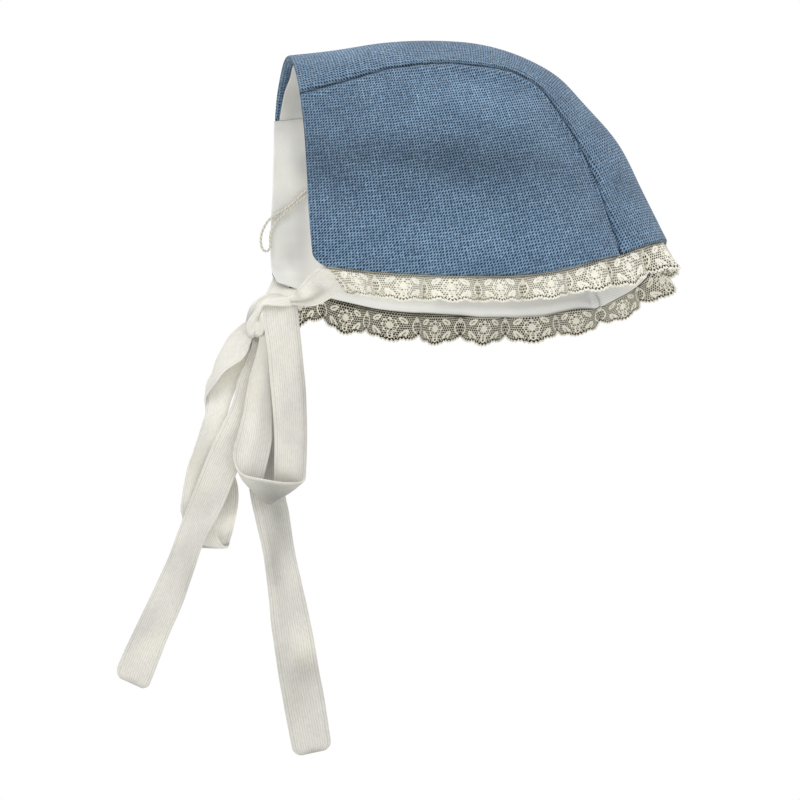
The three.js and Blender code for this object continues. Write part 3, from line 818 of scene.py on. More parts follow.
OUTER = Layer(
    thickness=1.9,
    pitch=0.9,
    roll=1.1,
    hem_wander=np.array(
        [[0, -0.4], [0.06, -1.3], [0.12, -1.3], [0.46, -1.3], [0.55, -0.7], [0.68, 0], [0.86, 0.2], [1, -1.6]]
    ),
    puff=0.35,
    seam_line=1.0,
    slack=0.8,
    slack_length=38.0,
    seed=3,
    # Painted light and shade: darker across the middle of the side panels, lighter above and below
    patches=np.array(
        [
            [-6, -60, 50, 11, -0.32], [18, -62, 18, 8, -0.12], [10, -31, 26, 10, 0.22],
            [-52, -62, 14, 18, -0.2], [20, 4, 80, 8, -0.1], [14, -96, 56, 11, 0.18], [-38, -4, 20, 8, 0.3],
        ]
    ),
    past_hem=(-0.8, -0.4),
    tuck=0.9,
)
LINING = Layer(
    thickness=1.0,
    pitch=1.1,
    roll=0.6,
    hem_wander=np.array(
        [
            [0, 0.8], [0.06, -0.2], [0.12, -0.8], [0.27, -1.1], [0.46, -1.2], [0.55, -0.3],
            [0.61, 0.2], [0.68, 0.6], [0.86, 0.9], [0.93, -0.3], [1, -1],
        ]
    ),
    puff=-0.3,
    seam_line=0.1,
    slack=0.9,
    slack_length=16.0,
    seed=5,
    # Painted light and shade inside the hood: mostly darker near the face edge, lighter along the roll above
    # the hem
    patches=np.array(
        [
            [-54, -17, 13, 16, -0.36], [-50, -43, 5, 8, -0.2], [-60, -48, 5, 26, 0.08],
            [-49, -70, 3.5, 24, -0.16], [-54.5, -80, 5, 6, -0.15], [-57, -93, 7, 6, 0.2],
            [0, -104, 62, 7, 0.24], [64, -102, 16, 9, -0.16],
        ]
    ),
    top=2.2,
    setback=1.4,
    crown_setback=2.8,
    past_face=(-0.6, 0.9),
    past_hem=(-1.0, 0.0),
    left_patch_weakening=0.8,
)


@dataclass
class Hood:
    """The crown band and side panels, each in outer weave and in lining."""

    shape: HoodShape
    wardrobe: Wardrobe
    seam_sink: float = 0.7  # how far the side panel's edge is pulled under the band
    seam_reach: float = 1.7
    seam_shadow: float = 0.9  # how far the painted shade along a seam reaches
    puff_place: Pair = (2.4, 1.8)  # how far from a seam the cloth stands up, and its reach
    pucker_length: float = 7.5  # the gathers that the seam's stitches make
    pucker_way: Triple = (0.8, 0.0, 0.6)  # the way that they follow each other
    pucker_stray: Pair = (0.6, 24.0)  # how many gathers they stray, and over what length
    pucker_depth: float = 0.16
    pucker_reach: float = 5.0
    calm: Pair = (12.0, 8.0)  # how far from a seam outer cloth and lining have their full slack
    hem_shade_width: float = 0.8  # width of the painted shade line along the lining's hem
    hem_puff: float = 1.8  # the lining's soft roll above its hem
    hem_puff_place: Pair = (3.6, 2.2)
    corners: Pair = (6.0, 3.0)  # radius of the left and right front corners
    corner_share: float = 0.998  # the share of a corner's quarter circle that is followed
    forward: Pair = (2.5, 0.0)  # how far each side's face edge swings forward towards the hem
    forward_place: Pair = (0.1, 0.85)  # from where to where down the panel
    tuck_sink: float = 0.9  # how far the tucked part lies deeper
    lining_end: float = 10.94  # the lining's side panels reach farther into the corner
    band_width: float = 76.0
    panel_length: float = 118.0
    panel_depth: float = 88.0
    weave_centre: Pair = (-81.0, 372.0)  # the panels' rows of weave curve round this x, z
    weave_radius: float = 437.0
    band_beat: float = 0.8  # how close the band's cross yarns lie, against the panels' yarns
    beyond: Pair = (0.5, 0.3)  # how many ribs a cloth can reach past the first and the last one
    early: int = 10  # measured places in front of the first rib
    stations: int = 420  # measured places behind it
    coarse_stations: int = 400  # measured places for a whole length

    def ribs_along(self, runs: Array, edge: Callable[[Array], Array]) -> Array:
        """Turns distances along an edge into rib numbers, by measuring the edge.

        Args:
            runs: Distances behind the face edge, negative in front of it.
            edge: The edge's place at each rib.

        Returns:
            Rib numbers.
        """
        ahead = np.linspace(-self.beyond[0], 0, self.early + 1)[:-1]
        ribs = np.concatenate([ahead, np.linspace(0, self.shape.last_rib + self.beyond[1], self.stations)])
        run = run_lengths(edge(ribs), 0)
        return np.interp(runs, run - run[self.early], ribs)

    def length(self, edge: Callable[[Array], Array], last: float) -> float:
        """How long an edge is from the first rib to the last one."""
        return float(run_lengths(edge(np.linspace(0, last, self.coarse_stations)), 0)[-1])

    def band_grid(self, layer: Layer) -> tuple[Array, Array]:
        """Where a crown band's mesh lines lie, with its face edge set back most at the top.

        Args:
            layer: The layer of cloth.

        Returns:
            Rib and across values.
        """
        crown = partial(self.shape.band, across=0.0)
        across = border_shares(self.band_width, layer.pitch, layer.roll)[None, :] * 2 - 1
        length = self.length(crown, self.shape.last_rib)
        start = layer.setback + layer.crown_setback * (1 - np.abs(across))
        runs = start + border_shares(length, layer.pitch, layer.roll)[:, None] * (length - start)
        ribs = self.ribs_along(runs, crown)
        return ribs, across * np.ones_like(ribs)

    def panel_grid(self, layer: Layer, side: Side) -> tuple[Array, Array]:
        """Where a side panel's mesh lines lie, with its front corner rounded.

        The face edge retreats by R - sqrt(R^2 - (R - s)^2) at a distance s from the hem.

        Args:
            layer: The layer of cloth.
            side: The side.

        Returns:
            Rib and down values.
        """
        hem = partial(self.shape.panel, down=1.0, side=side)
        shares = border_shares(self.panel_length, layer.pitch, layer.roll)[:, None]
        past_hem = layer.hem(side, shares)
        downs = border_shares(self.panel_depth, layer.pitch, layer.roll)[None, :]
        downs = downs * (1 + (past_hem + layer.tuck) / self.panel_depth) - layer.tuck / self.panel_depth
        radius = side.of(self.corners)
        from_hem = self.panel_depth * (1 - downs) + past_hem
        short = np.clip(radius - from_hem, 0, radius * self.corner_share)
        start = radius - np.sqrt(radius**2 - short**2) - side.of(layer.past_face)
        start = start - side.of(self.forward) * smoothstep(*self.forward_place, downs)
        length = self.length(hem, self.lining_end if layer is LINING else self.shape.panel_end)
        ribs = self.ribs_along(start + shares * (length - start), hem)
        return ribs, downs * np.ones_like(ribs)

    def laid(
        self, places: Array, normals: Array, layer: Layer, to_seam: Array, under: bool
    ) -> tuple[Array, Array]:
        """Moves an outside surface to the middle of a layer, with its seams, puckers and slack.

        Args:
            places: The outside surface on a grid.
            normals: Its normals.
            layer: The layer.
            to_seam: Distance from each point to the nearest seam.
            under: Whether the seams are pulled under the neighbour's edge.

        Returns:
            The middle surface, and the painted shade along the seams, from 0 to 1.
        """
        along = places @ np.array(self.pucker_way)
        stray = self.pucker_stray[0] * undulation(places, self.pucker_stray[1], layer.seed + 1)
        lift = layer.puff * bell(to_seam - self.puff_place[0], self.puff_place[1])
        pucker = np.sin(FULL_TURN * (along / self.pucker_length + stray))
        lift += self.pucker_depth * pucker * bell(to_seam, self.pucker_reach)
        outer_calm, lining_calm = (smoothstep(0, calm, to_seam) for calm in self.calm)
        lift += OUTER.slack * undulation(places, OUTER.slack_length, OUTER.seed) * outer_calm
        if layer is LINING:
            hollow = 1 + np.clip(undulation(places, layer.slack_length, layer.seed), -1, 1)
            lift -= layer.slack * hollow * lining_calm
        if under:
            lift -= self.seam_sink * bell(np.maximum(to_seam, 0), self.seam_reach)
            lift -= self.tuck_sink * smoothstep(0, layer.tuck, -to_seam)
        middle = places + normals * (lift - layer.top - layer.thickness / 2)[..., None]
        return middle, bell(to_seam, self.seam_shadow) * layer.seam_line

    def make(self, node: str, places: Array, middle: Array, flat: Array, seam: Array, layer: Layer) -> None:
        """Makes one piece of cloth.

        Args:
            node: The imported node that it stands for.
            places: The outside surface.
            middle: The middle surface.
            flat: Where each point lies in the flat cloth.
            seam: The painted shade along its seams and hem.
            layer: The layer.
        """
        half = rolled(Edges.of(places).nearest(), layer.thickness, layer.roll)
        normals = grid_normals(middle, np.array(self.shape.head_centre))
        # Painted shade in the seams, and painted light and shade in patches
        values = {"seam": seam, "tone": layer.tone(places)}
        piece = closed_cloth(node + "_cloth", middle, normals, half, flat, values)
        self.wardrobe.dress(piece, OpenWeave() if layer is OUTER else Twill(), node)
        width, length, area = flat_size(places)

    def band(self, node: str, layer: Layer) -> None:
        """Makes the crown band in one layer of cloth."""
        ribs, across = self.band_grid(layer)
        places = self.shape.band(ribs, across)
        normals = self.shape.normals(self.shape.band, ribs, across)
        edges = Edges.of(places)
        to_seam = np.minimum(edges.first_column, edges.last_column)
        middle, seam = self.laid(places, normals, layer, to_seam, False)
        centre = np.abs(across).argmin(axis=1)[0]
        runs = edges.first_row[:, [centre]] * np.ones_like(across)
        off_centre = edges.first_column - edges.first_column[:, [centre]]
        flat = np.stack([runs, off_centre * self.band_beat], axis=-1)
        self.make(node, places, middle, flat, seam, layer)

    def panel(self, node: str, side: Side, layer: Layer) -> None:
        """Makes a side panel in one layer of cloth."""
        ribs, down = self.panel_grid(layer, side)
        surface = partial(self.shape.panel, side=side)
        places = surface(ribs, down)
        normals = self.shape.normals(surface, ribs, down)
        edges = Edges.of(places)
        middle, seam = self.laid(places, normals, layer, edges.first_column - layer.tuck, layer is OUTER)
        if layer is LINING:
            place, reach = self.hem_puff_place
            middle = middle - normals * (self.hem_puff * bell(edges.last_column - place, reach))[..., None]
            # Painted shade along the lining's hem
            seam = np.maximum(seam, bell(edges.last_column, self.hem_shade_width))
        self.make(node, places, middle, self.unrolled(places), seam, layer)

    def unrolled(self, places: Array) -> Array:
        """Where a panel's points lie in its flat cloth, which has been pressed over the head.

        The weave's rows run in circles round a far centre, and its columns towards it.
        """
        x, z = places[..., 0] - self.weave_centre[0], self.weave_centre[1] - places[..., 2]
        return np.stack([self.weave_radius * np.arctan2(x, z), np.hypot(x, z)], axis=-1)

    def build(self) -> None:
        """Makes all six pieces."""
        for layer, band, panel in ((LINING, "lining_band", "lining_"), (OUTER, "crown_band", "side_panel_")):
            self.band(band, layer)
            for side in Side:
                self.panel(panel + side.name.lower(), side, layer)


# ---------- Tapes, knot and thread ----------


@dataclass(frozen=True)
class Crease:
    """A lengthwise fold line or soft hollow in a tape."""

    across: float  # where it lies, as a share of the width
    width: float  # how far it spreads, as a share of the width
    depth: float  # how far it moves the cloth along its normal
    start: float = -1.0  # where it begins and ends, as shares of the length
    end: float = 2.0
    fade: float = 0.15  # the share of the length over which it sets in and dies away

    def shape(self, across: Array, share: Array) -> Array:
        """How strong it is, from 0 to 1: a bell across, times a smooth step in and one out."""
        begins = smoothstep(self.start - self.fade, self.start + self.fade, share)
        ends = 1 - smoothstep(self.end, self.end + self.fade, share)
        return bell(across - self.across, self.width) * (begins * ends)


@dataclass(frozen=True)
class Dent:
    """A buckle right across a tape."""

    along: float  # where it lies, as a share of the length
    reach: float  # how far it spreads, in millimetres
    depth: float


def lines_across(*rows: tuple[float, ...]) -> Array:
    """A tape's table: for each line across it x, y and z of both selvedges and, unless 0, its bulge."""
    return np.array([row + (0,) * (7 - len(row)) for row in rows], float)


@dataclass(frozen=True)
class Tape:
    """A length of ribbed tape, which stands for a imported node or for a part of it."""

    node: str
    rows: Array  # lines across it. A line's bulge is how far its middle lies along the cloth's normal
    part: str = "cloth"
    creases: tuple[Crease, ...] = ()
    dents: tuple[Dent, ...] = ()
    slack: float = 0.65  # depth of its soft unevenness
    sways: tuple[Triple, ...] = ((22.0, 1.0, 0), (10.0, 0.4, 40))  # wavelength, share, and added to the seed
    seed: int = 1
    width: float = 15.0
    thickness: float = 0.85
    selvedge: float = 0.42
    pitch: float = 0.9  # mesh lines along and across
    fine: float = 0.45
    shaded: Pair = (0.7, 0.0)  # painted shade at both ends, where the tape meets the knot
    shade_reach: float = 5.0
    tone: Pair = (1.0, 1.0)  # how light both ends are painted: painted light above 1, painted shade below
    patches: tuple[tuple[float, ...], ...] = ()  # painted light and shade; see toned
    patched_side: Triple = (-0.15, -0.97, -0.17)  # where the face with the painted patches looks: towards the camera
    patch_turn: float = 0.3  # how far a face has to look that way to show them fully
    crease_dark: float = 0.6  # the most painted shade that a crease puts on the tape
    stations: int = 600  # measured lines across it
    rounded: float = 0.0  # radius of the free end's corners

    def toned(self, across: Array, along: Array, length: float, normals: Array) -> Array:
        """Half of the cloth's painted lightness: painted light and shade that runs from end to end and has a
        bell for each patch.

        Args:
            across: Share across the tape.
            along: Share along it.
            length: Its length.
            normals: The tape's normals.

        Returns:
            The values for both faces. A patch lists its share across and along, its reach across as a
            share of the width and along in millimetres, and how much lighter the tape is there.
        """
        patched = np.zeros(across.shape)
        for c, s, wide, long, lighter in self.patches:
            patched += lighter * bell(np.hypot((across - c) / wide, (along - s) * length / long), 1.0)
        # Only the face that looks towards the camera shows the painted patches
        looks = (normals @ np.array(self.patched_side))[..., None] * np.array([1, -1])
        shown = patched[..., None] * smoothstep(0, self.patch_turn, looks)
        return np.clip((np.interp(along, (0, 1), self.tone)[..., None] + shown) / 2, 0, 1)

    def surface(self) -> tuple[Array, Array]:
        """The middle surface: each row a parabola between its selvedges, moved by folds and slack.

        Returns:
            The grid of points, and its painted shade at the ends and in creases, from 0 to 1.
        """
        at = np.linspace(0, len(self.rows) - 1, self.stations)
        line = rows_between(self.rows, at)
        run = run_lengths((line[:, :3] + line[:, 3:6]) / 2, 0)
        length = run[-1]
        along = border_shares(length, self.pitch, self.selvedge)
        share = along[:, None]
        short = np.clip(self.rounded - (1 - share) * length, 0, None)
        inset = (self.rounded - np.sqrt(self.rounded**2 - short**2)) / self.width
        across = inset + (1 - 2 * inset) * border_shares(self.width, self.fine, self.selvedge)[None, :]
        ends = rows_between(self.rows, np.interp(along, run / length, at))
        places = ends[:, None, :3] + (ends[:, None, 3:6] - ends[:, None, :3]) * across[..., None]
        sways = [size * undulation(places, long, self.seed + more) for long, size, more in self.sways]
        lift = self.slack * sum(sways) + ends[:, 6:] * (1 - (2 * across - 1) ** 2)
        # Painted shade at the ends that meet the knot, and in the creases
        shade = self.shaded[0] * bell(share * length, self.shade_reach)
        shade = shade + self.shaded[1] * bell((1 - share) * length, self.shade_reach) * np.ones_like(across)
        for crease in self.creases:
            shape = crease.shape(across, share)
            lift = lift + crease.depth * shape
            shade = np.maximum(shade, shape * np.clip(-crease.depth, 0, self.crease_dark))
        for dent in self.dents:
            lift = lift + dent.depth * bell((share - dent.along) * length, dent.reach)
        return places + grid_normals(places) * lift[..., None], shade

    def build(self, wardrobe: Wardrobe, finish: Finish) -> None:
        """Makes the tape."""
        middle, shade = self.surface()
        edges = Edges.of(middle)
        across = edges.first_column / np.maximum(edges.first_column[:, -1:], TINY)
        half = rolled(edges.nearest(), self.thickness, self.selvedge)
        length = float(np.mean(edges.first_row[-1]))
        along = edges.first_row / np.maximum(edges.first_row[-1:], TINY)
        flat = np.stack([across * self.width, along * length], axis=-1)
        normals = grid_normals(middle)
        # The seam attribute is painted shade; the other is painted light and shade
        values = {"seam": shade, "tone": self.toned(across, along, length, normals)}
        piece = closed_cloth(f"{self.node}_{self.part}", middle, normals, half, flat, values)
        wardrobe.dress(piece, finish, self.node)


TIE_LEFT = lines_across(
    (-53.3, -44.2, -106.8, -39.8, -45, -108.3), (-54.7, -42.6, -107.9, -40.3, -42.6, -111.8),
    (-56.2, -37, -108.9, -43.2, -37, -115.6), (-57.8, -30, -110.2, -48, -30, -117.7),
    (-59, -22, -111.3, -53.2, -22.5, -118.6), (-60.3, -15.5, -112.2, -57.4, -16, -117.2),
    (-61.9, -12, -112.6, -60.7, -12.2, -116.2), (-63.3, -9.5, -112.9, -62.4, -9.5, -115.3),
)
TIE_RIGHT = lines_across(
    (-60.6, 46.6, -90.9, -46.6, 47, -93.5), (-62, 46.2, -94.4, -47.4, 46.8, -97.4),
    (-64.4, 41.4, -99.4, -49.8, 42.6, -102.4), (-68, 29, -106.1, -55.5, 29, -107),
    (-71.5, 19, -112.2, -61.9, 19, -111), (-74.4, 10, -116.9, -67.2, 10, -114.9),
    (-76, 5, -119.4, -70.4, 5, -117.1),
)
LOOP_AFT = lines_across(
    (-72.4, -9.8, -114.1, -58.3, -9.8, -113.3), (-72.4, -10.8, -117.7, -57.8, -10.8, -117.3),
    (-72.2, -11.3, -123.4, -57, -10.9, -123.2), (-70.9, -11.5, -133.1, -56, -10.8, -132.5),
    (-69.8, -11.3, -141.9, -55.2, -10.8, -141.4), (-68.8, -11, -151.5, -54.3, -10.8, -150.6),
    (-67.8, -10.8, -161.5, -53.8, -10.6, -160.7), (-67.2, -10.6, -171.6, -53.4, -10.6, -170.4),
    (-67.1, -10.2, -179.5, -53.6, -11.2, -178), (-67, -9.2, -184.8, -53.9, -12, -184),
    (-66.7, -7.5, -189.5, -54.2, -12.8, -187.7, -0.5), (-66.1, -5.6, -193.4, -54.8, -13.2, -190, -1.2),
    (-65.9, -4.2, -196.1, -57.1, -13.4, -190.9, -1.8), (-66.4, -3.2, -198.1, -60.9, -13.4, -191, -1.8),
    (-67.5, -2.8, -199.1, -66.7, -13.3, -190.7, -1.2), (-69.1, -2.8, -198.9, -72.5, -13.2, -190.3, -1.2),
    (-70.6, -3.2, -197.8, -77, -13, -189.3, -2), (-72, -4.2, -195.8, -80.1, -12.6, -188, -2.2),
    (-72.4, -6, -192.8, -82.3, -12.1, -186.1, -1.6), (-71.4, -7.6, -189.2, -83.6, -11.3, -183.4, -0.8),
    (-70.3, -8.8, -184.8, -84.2, -10.4, -180.4), (-68.9, -9, -178.5, -83.7, -9.4, -176),
    (-67.9, -8.8, -171.7, -82.3, -8.8, -170.8), (-67.9, -8.4, -162.4, -80, -8.4, -161.9),
    (-68.4, -8.2, -153.1, -78.5, -8.2, -152.1), (-69, -8.2, -144.3, -76.7, -8, -144),
    (-69.7, -8.2, -135, -74.2, -7.6, -135), (-70.4, -8, -126.5, -72.7, -7, -126.3),
    (-70.9, -7, -118.6, -72.5, -6, -118.5),
)
TAIL_FORE = lines_across(
    (-75.9, -3, -125.7, -71.3, 0, -125.8), (-76.1, -3.4, -132.1, -68.7, 0, -133.4),
    (-78.9, -4, -139.5, -68.9, -1.5, -143.9), (-81.9, -4.6, -147.3, -70.6, -3, -154.4),
    (-83.4, -5, -154.6, -73.2, -4, -163.9), (-85.3, -5.2, -160.2, -75.3, -4.8, -170.8),
    (-89.6, -5.3, -169.2, -77.8, -5, -178.5), (-94.1, -5.3, -179.4, -82, -5.2, -186.6),
    (-100.5, -5, -196.2, -87.7, -6, -200.6), (-106.5, -5, -212.6, -95.6, -7, -216.3),
    (-111.8, -5, -226.4, -100.4, -7, -230.5), (-117, -5, -238, -104.3, -6, -242.4),
    (-122.6, -5, -250.1, -109.8, -5, -255.6), (-129.3, -5, -264.9, -115.7, -5, -271.3),
    (-131.3, -5, -271.5, -118.1, -5, -277.4),
)
TAIL_AFT = lines_across(
    (-70.5, 5.5, -122.4, -62, 5.5, -120), (-73, 5, -130, -63, 5.8, -129),
    (-73.7, 4.5, -141.3, -60.6, 4.5, -140.9), (-74.8, 4, -156.2, -60.5, 4, -155.8),
    (-76, 4, -173.2, -61.7, 4, -172.9), (-75.9, 3.5, -191, -61.2, 4, -190.2),
    (-73.4, 3, -204.1, -59, 4, -201.9), (-69.9, 3, -219.5, -56.4, 4, -217.4),
    (-67.7, 3, -234.1, -53.4, 4, -231.2), (-66.4, 3, -248.6, -50.1, 3, -245.8),
    (-63.8, 3, -265.2, -47.1, 3, -262.4), (-60.3, 3, -284.5, -43.5, 3, -281.8),
    (-56.5, 3, -303, -40.7, 3, -299.5),
)
LOOP_FORE = lines_across(
    (-76.2, -2, -119.1, -75.2, -4.5, -126.8), (-78.1, -2.5, -121.7, -77, -6, -132.7),
    (-81.6, -3, -124.4, -78.6, -7.5, -136.8), (-85.1, -3, -128.1, -81, -8.2, -140),
    (-87.8, -2.5, -133.7, -84.5, -8.4, -142.6), (-90.4, -1.2, -139.2, -87.8, -8, -145.2),
    (-91.5, 1.2, -143.7, -90.8, -7, -148.7), (-93, 5, -148.5, -93.2, -5.2, -152),
    (-92.7, 8.2, -153.9, -94.6, -2.8, -155), (-90.1, 10.4, -161.1, -94.3, 1.2, -161.1),
    (-85.7, 11, -176.6, -97.4, 7, -176.2), (-80.7, 10, -186.4, -94.6, 9, -186),
    (-79.6, 9, -195.3, -93.7, 9, -196.1), (-81.1, 8, -205.2, -95.4, 8, -204.7),
    (-83.2, 6.5, -213, -97.8, 6.5, -212.6), (-84.8, 3, -217, -99.4, 3, -217),
    (-88.4, -0.5, -214.4, -101.8, -0.5, -214), (-91.5, -2, -205, -104.4, -2, -204.4),
    (-92.6, -2, -201, -105, -2, -201.3), (-92.9, -2.4, -192.7, -103.9, -2.4, -192.5),
    (-92.7, -2.6, -185.2, -102.3, -2.6, -184.2), (-91.4, -2.4, -178, -100.1, -2.4, -177.8),
    (-89.4, -1.8, -171.6, -98, -1.8, -171.4), (-87, -1, -165.1, -96.3, -1, -165.7),
    (-85.2, -0.6, -159.5, -94.8, 0, -160.9), (-84, -0.6, -155.2, -94.2, 1, -155.6),
    (-82.4, -0.6, -150.9, -93.3, 2, -149.9), (-80.8, -0.6, -146.2, -90.7, 2.4, -143),
    (-78.1, -0.8, -141.5, -86.5, 2.4, -134.3), (-76.4, -1, -134.7, -82, 2, -128.3),
    (-76, -1, -128.7, -78.3, 1.6, -123.1), (-75.7, -1, -123.6, -76.3, 1.4, -119.7),
)
# Painted light and shade on the tapes: their lightness from end to end and their patches
TAPES = (
    Tape(
        "tie_left",
        TIE_LEFT,
        creases=(Crease(0.3, 0.2, 0.7, 0.3), Crease(0.66, 0.16, -0.7, 0.35)),
        dents=(Dent(0.34, 3.4, -0.9), Dent(0.56, 3.6, 0.8)),
        slack=0.4, seed=11, shaded=(0.0, 0.35), tone=(1.2, 1.2),
        patches=(
            (0.35, 0.12, 0.3, 4, 0.06), (0.45, 0.35, 0.18, 3.5, -0.18), (0.4, 0.52, 0.2, 3.5, 0.12),
            (0.15, 0.68, 0.25, 3, -0.18),
        ),
    ),
    Tape(
        "tie_right",
        TIE_RIGHT,
        creases=(Crease(0.45, 0.2, -0.3, 0.3),),
        seed=12, shaded=(0.0, 0.1), tone=(1.2, 1.25),
        patches=((0.5, 0.2, 1, 12, 0.25),),
    ),
    Tape(
        "bow_loop_aft",
        LOOP_AFT,
        dents=(Dent(0.3, 5.0, 0.35),),
        slack=0.6, seed=13, shaded=(0.15, 0.6), tone=(1.04, 0.94),
        patches=(
            (0.5, 0.05, 0.6, 10, 0.08), (0.95, 0.3, 0.14, 55, -0.2), (0.6, 0.27, 0.5, 22, -0.08),
            (0.3, 0.5, 0.75, 10, -0.55), (1, 0.52, 0.1, 12, 0.35), (0.7, 0.71, 0.3, 12, 0.14),
            (0.15, 0.7, 0.3, 16, -0.18),
        ),
    ),
    Tape(
        "tail_fore",
        TAIL_FORE,
        dents=(Dent(0.57, 5.0, 0.6), Dent(0.65, 5.0, -0.7)),
        seed=14, shaded=(0.6, 0.0), tone=(1.0, 0.96),
        patches=(
            (0.1, 0.3, 0.4, 12, 0.08), (0.3, 0.49, 0.5, 9, -0.1), (0.35, 0.64, 0.5, 6, -0.08),
            (0.95, 0.68, 0.4, 8, -0.2), (0.35, 0.82, 0.4, 7, -0.07), (0.5, 1, 1.6, 1.8, -0.26),
        ),
        rounded=3.2,
    ),
    Tape(
        "tail_aft",
        TAIL_AFT,
        creases=(Crease(0.26, 0.05, -0.12, 0.25, 0.6),),
        dents=(Dent(0.74, 6.0, 0.9), Dent(0.82, 5.0, -0.8)),
        seed=15, shaded=(0.6, 0.0), tone=(0.98, 0.9),
        patches=(
            (0.6, 0.31, 0.6, 14, -0.36), (0.65, 0.46, 0.3, 14, -0.28), (0.3, 0.55, 0.24, 11, -0.24),
            (0.4, 0.67, 0.3, 8, -0.07), (0.65, 0.74, 0.4, 6, 0.07), (0.68, 0.81, 0.5, 7, -0.22),
            (0.3, 0.87, 0.4, 9, -0.14), (0.5, 1, 1.6, 1.8, -0.34),
        ),
        rounded=3.6,
    ),
    Tape(
        "bow_loop_fore",
        LOOP_FORE,
        slack=0.6, seed=16, shaded=(0.3, 0.6), tone=(1.1, 1.0),
        patches=(
            (0.6, 0.38, 0.4, 6, -0.45), (0.3, 0.46, 0.8, 5, 0.4), (0.5, 0.515, 1.6, 1.3, -0.5),
            (0.5, 0.86, 1.2, 18, 0.2), (0.5, 0.7, 0.8, 12, -0.12),
        ),
    ),
)


def rings_round(path: Array, high: Array, deep: Array) -> Array:
    """Rings of points square to a path: ellipses, whose half axes may change on the way round.

    Args:
        path: Points along it, n x 3.
        high: Half the height at each place along and round it, n x k.
        deep: Half the depth, n x k.

    Returns:
        The rings, n x k x 3.
    """
    turn = np.linspace(0, FULL_TURN, high.shape[1], endpoint=False)[None, :]
    along = unit(np.gradient(path, axis=0))
    over = unit(np.cross(along, np.array([0.0, 1.0, 0.0])))
    out = np.cross(over, along)
    rings = path[:, None, :] + over[:, None, :] * (np.cos(turn) * high)[..., None]
    return rings + out[:, None, :] * (np.sin(turn) * deep)[..., None]


def tube(rings: Array) -> Array:
    """The quads of a closed tube.

    Args:
        rings: Rings of points along it, n x k x 3, with k even.

    Returns:
        Faces between neighbouring rings, and across both end rings from side to side.
    """
    count, sides = rings.shape[:2]
    ids = np.arange(count * sides).reshape(count, sides)
    walls = grid_quads(np.concatenate([ids, ids[:, :1]], axis=1))
    step = np.arange(sides // 2 - 1)
    cap = np.stack([step, step + 1, sides - 2 - step, sides - 1 - step], axis=-1)
    faces = np.concatenate([walls, ids[0][cap], ids[-1][cap][:, ::-1]])
    centre = rings.mean(axis=(0, 1))
    corners = rings.reshape(-1, 3)[faces] - centre
    volume = np.sum(corners[:, 0] * np.cross(corners[:, 1], corners[:, 2]))
    volume += np.sum(corners[:, 0] * np.cross(corners[:, 2], corners[:, 3]))
    return faces if volume > 0 else faces[:, ::-1]


KNOT_WRAP = lines_across(
    (-59.5, -4, -110.8, -59.4, -4, -114.9), (-59.6, -9, -111.6, -59.9, -9, -116.3),
    (-60.7, -12.2, -112.2, -60.9, -12.2, -117), (-63.8, -13.2, -112.8, -64.2, -13.4, -117.3),
    (-67.6, -13.6, -113.5, -68, -13.8, -117.3), (-71.3, -13.4, -114.3, -71.4, -13.8, -117),
    (-73.3, -12.6, -115.7, -73.1, -13, -117.6), (-74.5, -11, -118.1, -73.6, -11.6, -119.4),
    (-75.5, -8, -119.4, -73.8, -8.6, -121.2), (-74.8, -4, -119.4, -73.1, -4, -121.1),
)
KNOT_FOLD = lines_across(
    (-74.1, -8.5, -116.3, -71.7, -10, -116.7), (-76.1, -9.5, -119.5, -71.9, -11.2, -119.5, -1),
    (-77.7, -9, -122, -71.6, -11.2, -122.9, -1.5), (-78.6, -8, -124.2, -71.6, -11, -125.8, -2),
    (-78.4, -7, -126.5, -72.1, -10, -127.8, -2), (-77.7, -6, -128.4, -72.8, -9, -129.1, -1.5),
    (-76.8, -3.5, -128.6, -73.3, -6, -128.9, -0.8), (-76.1, -1, -127, -73.3, -3, -127.3),
)
KNOT_TAPE = partial(Tape, "bow_knot", pitch=0.5, thickness=1.5, selvedge=0.7)  # a thick bunch of tape


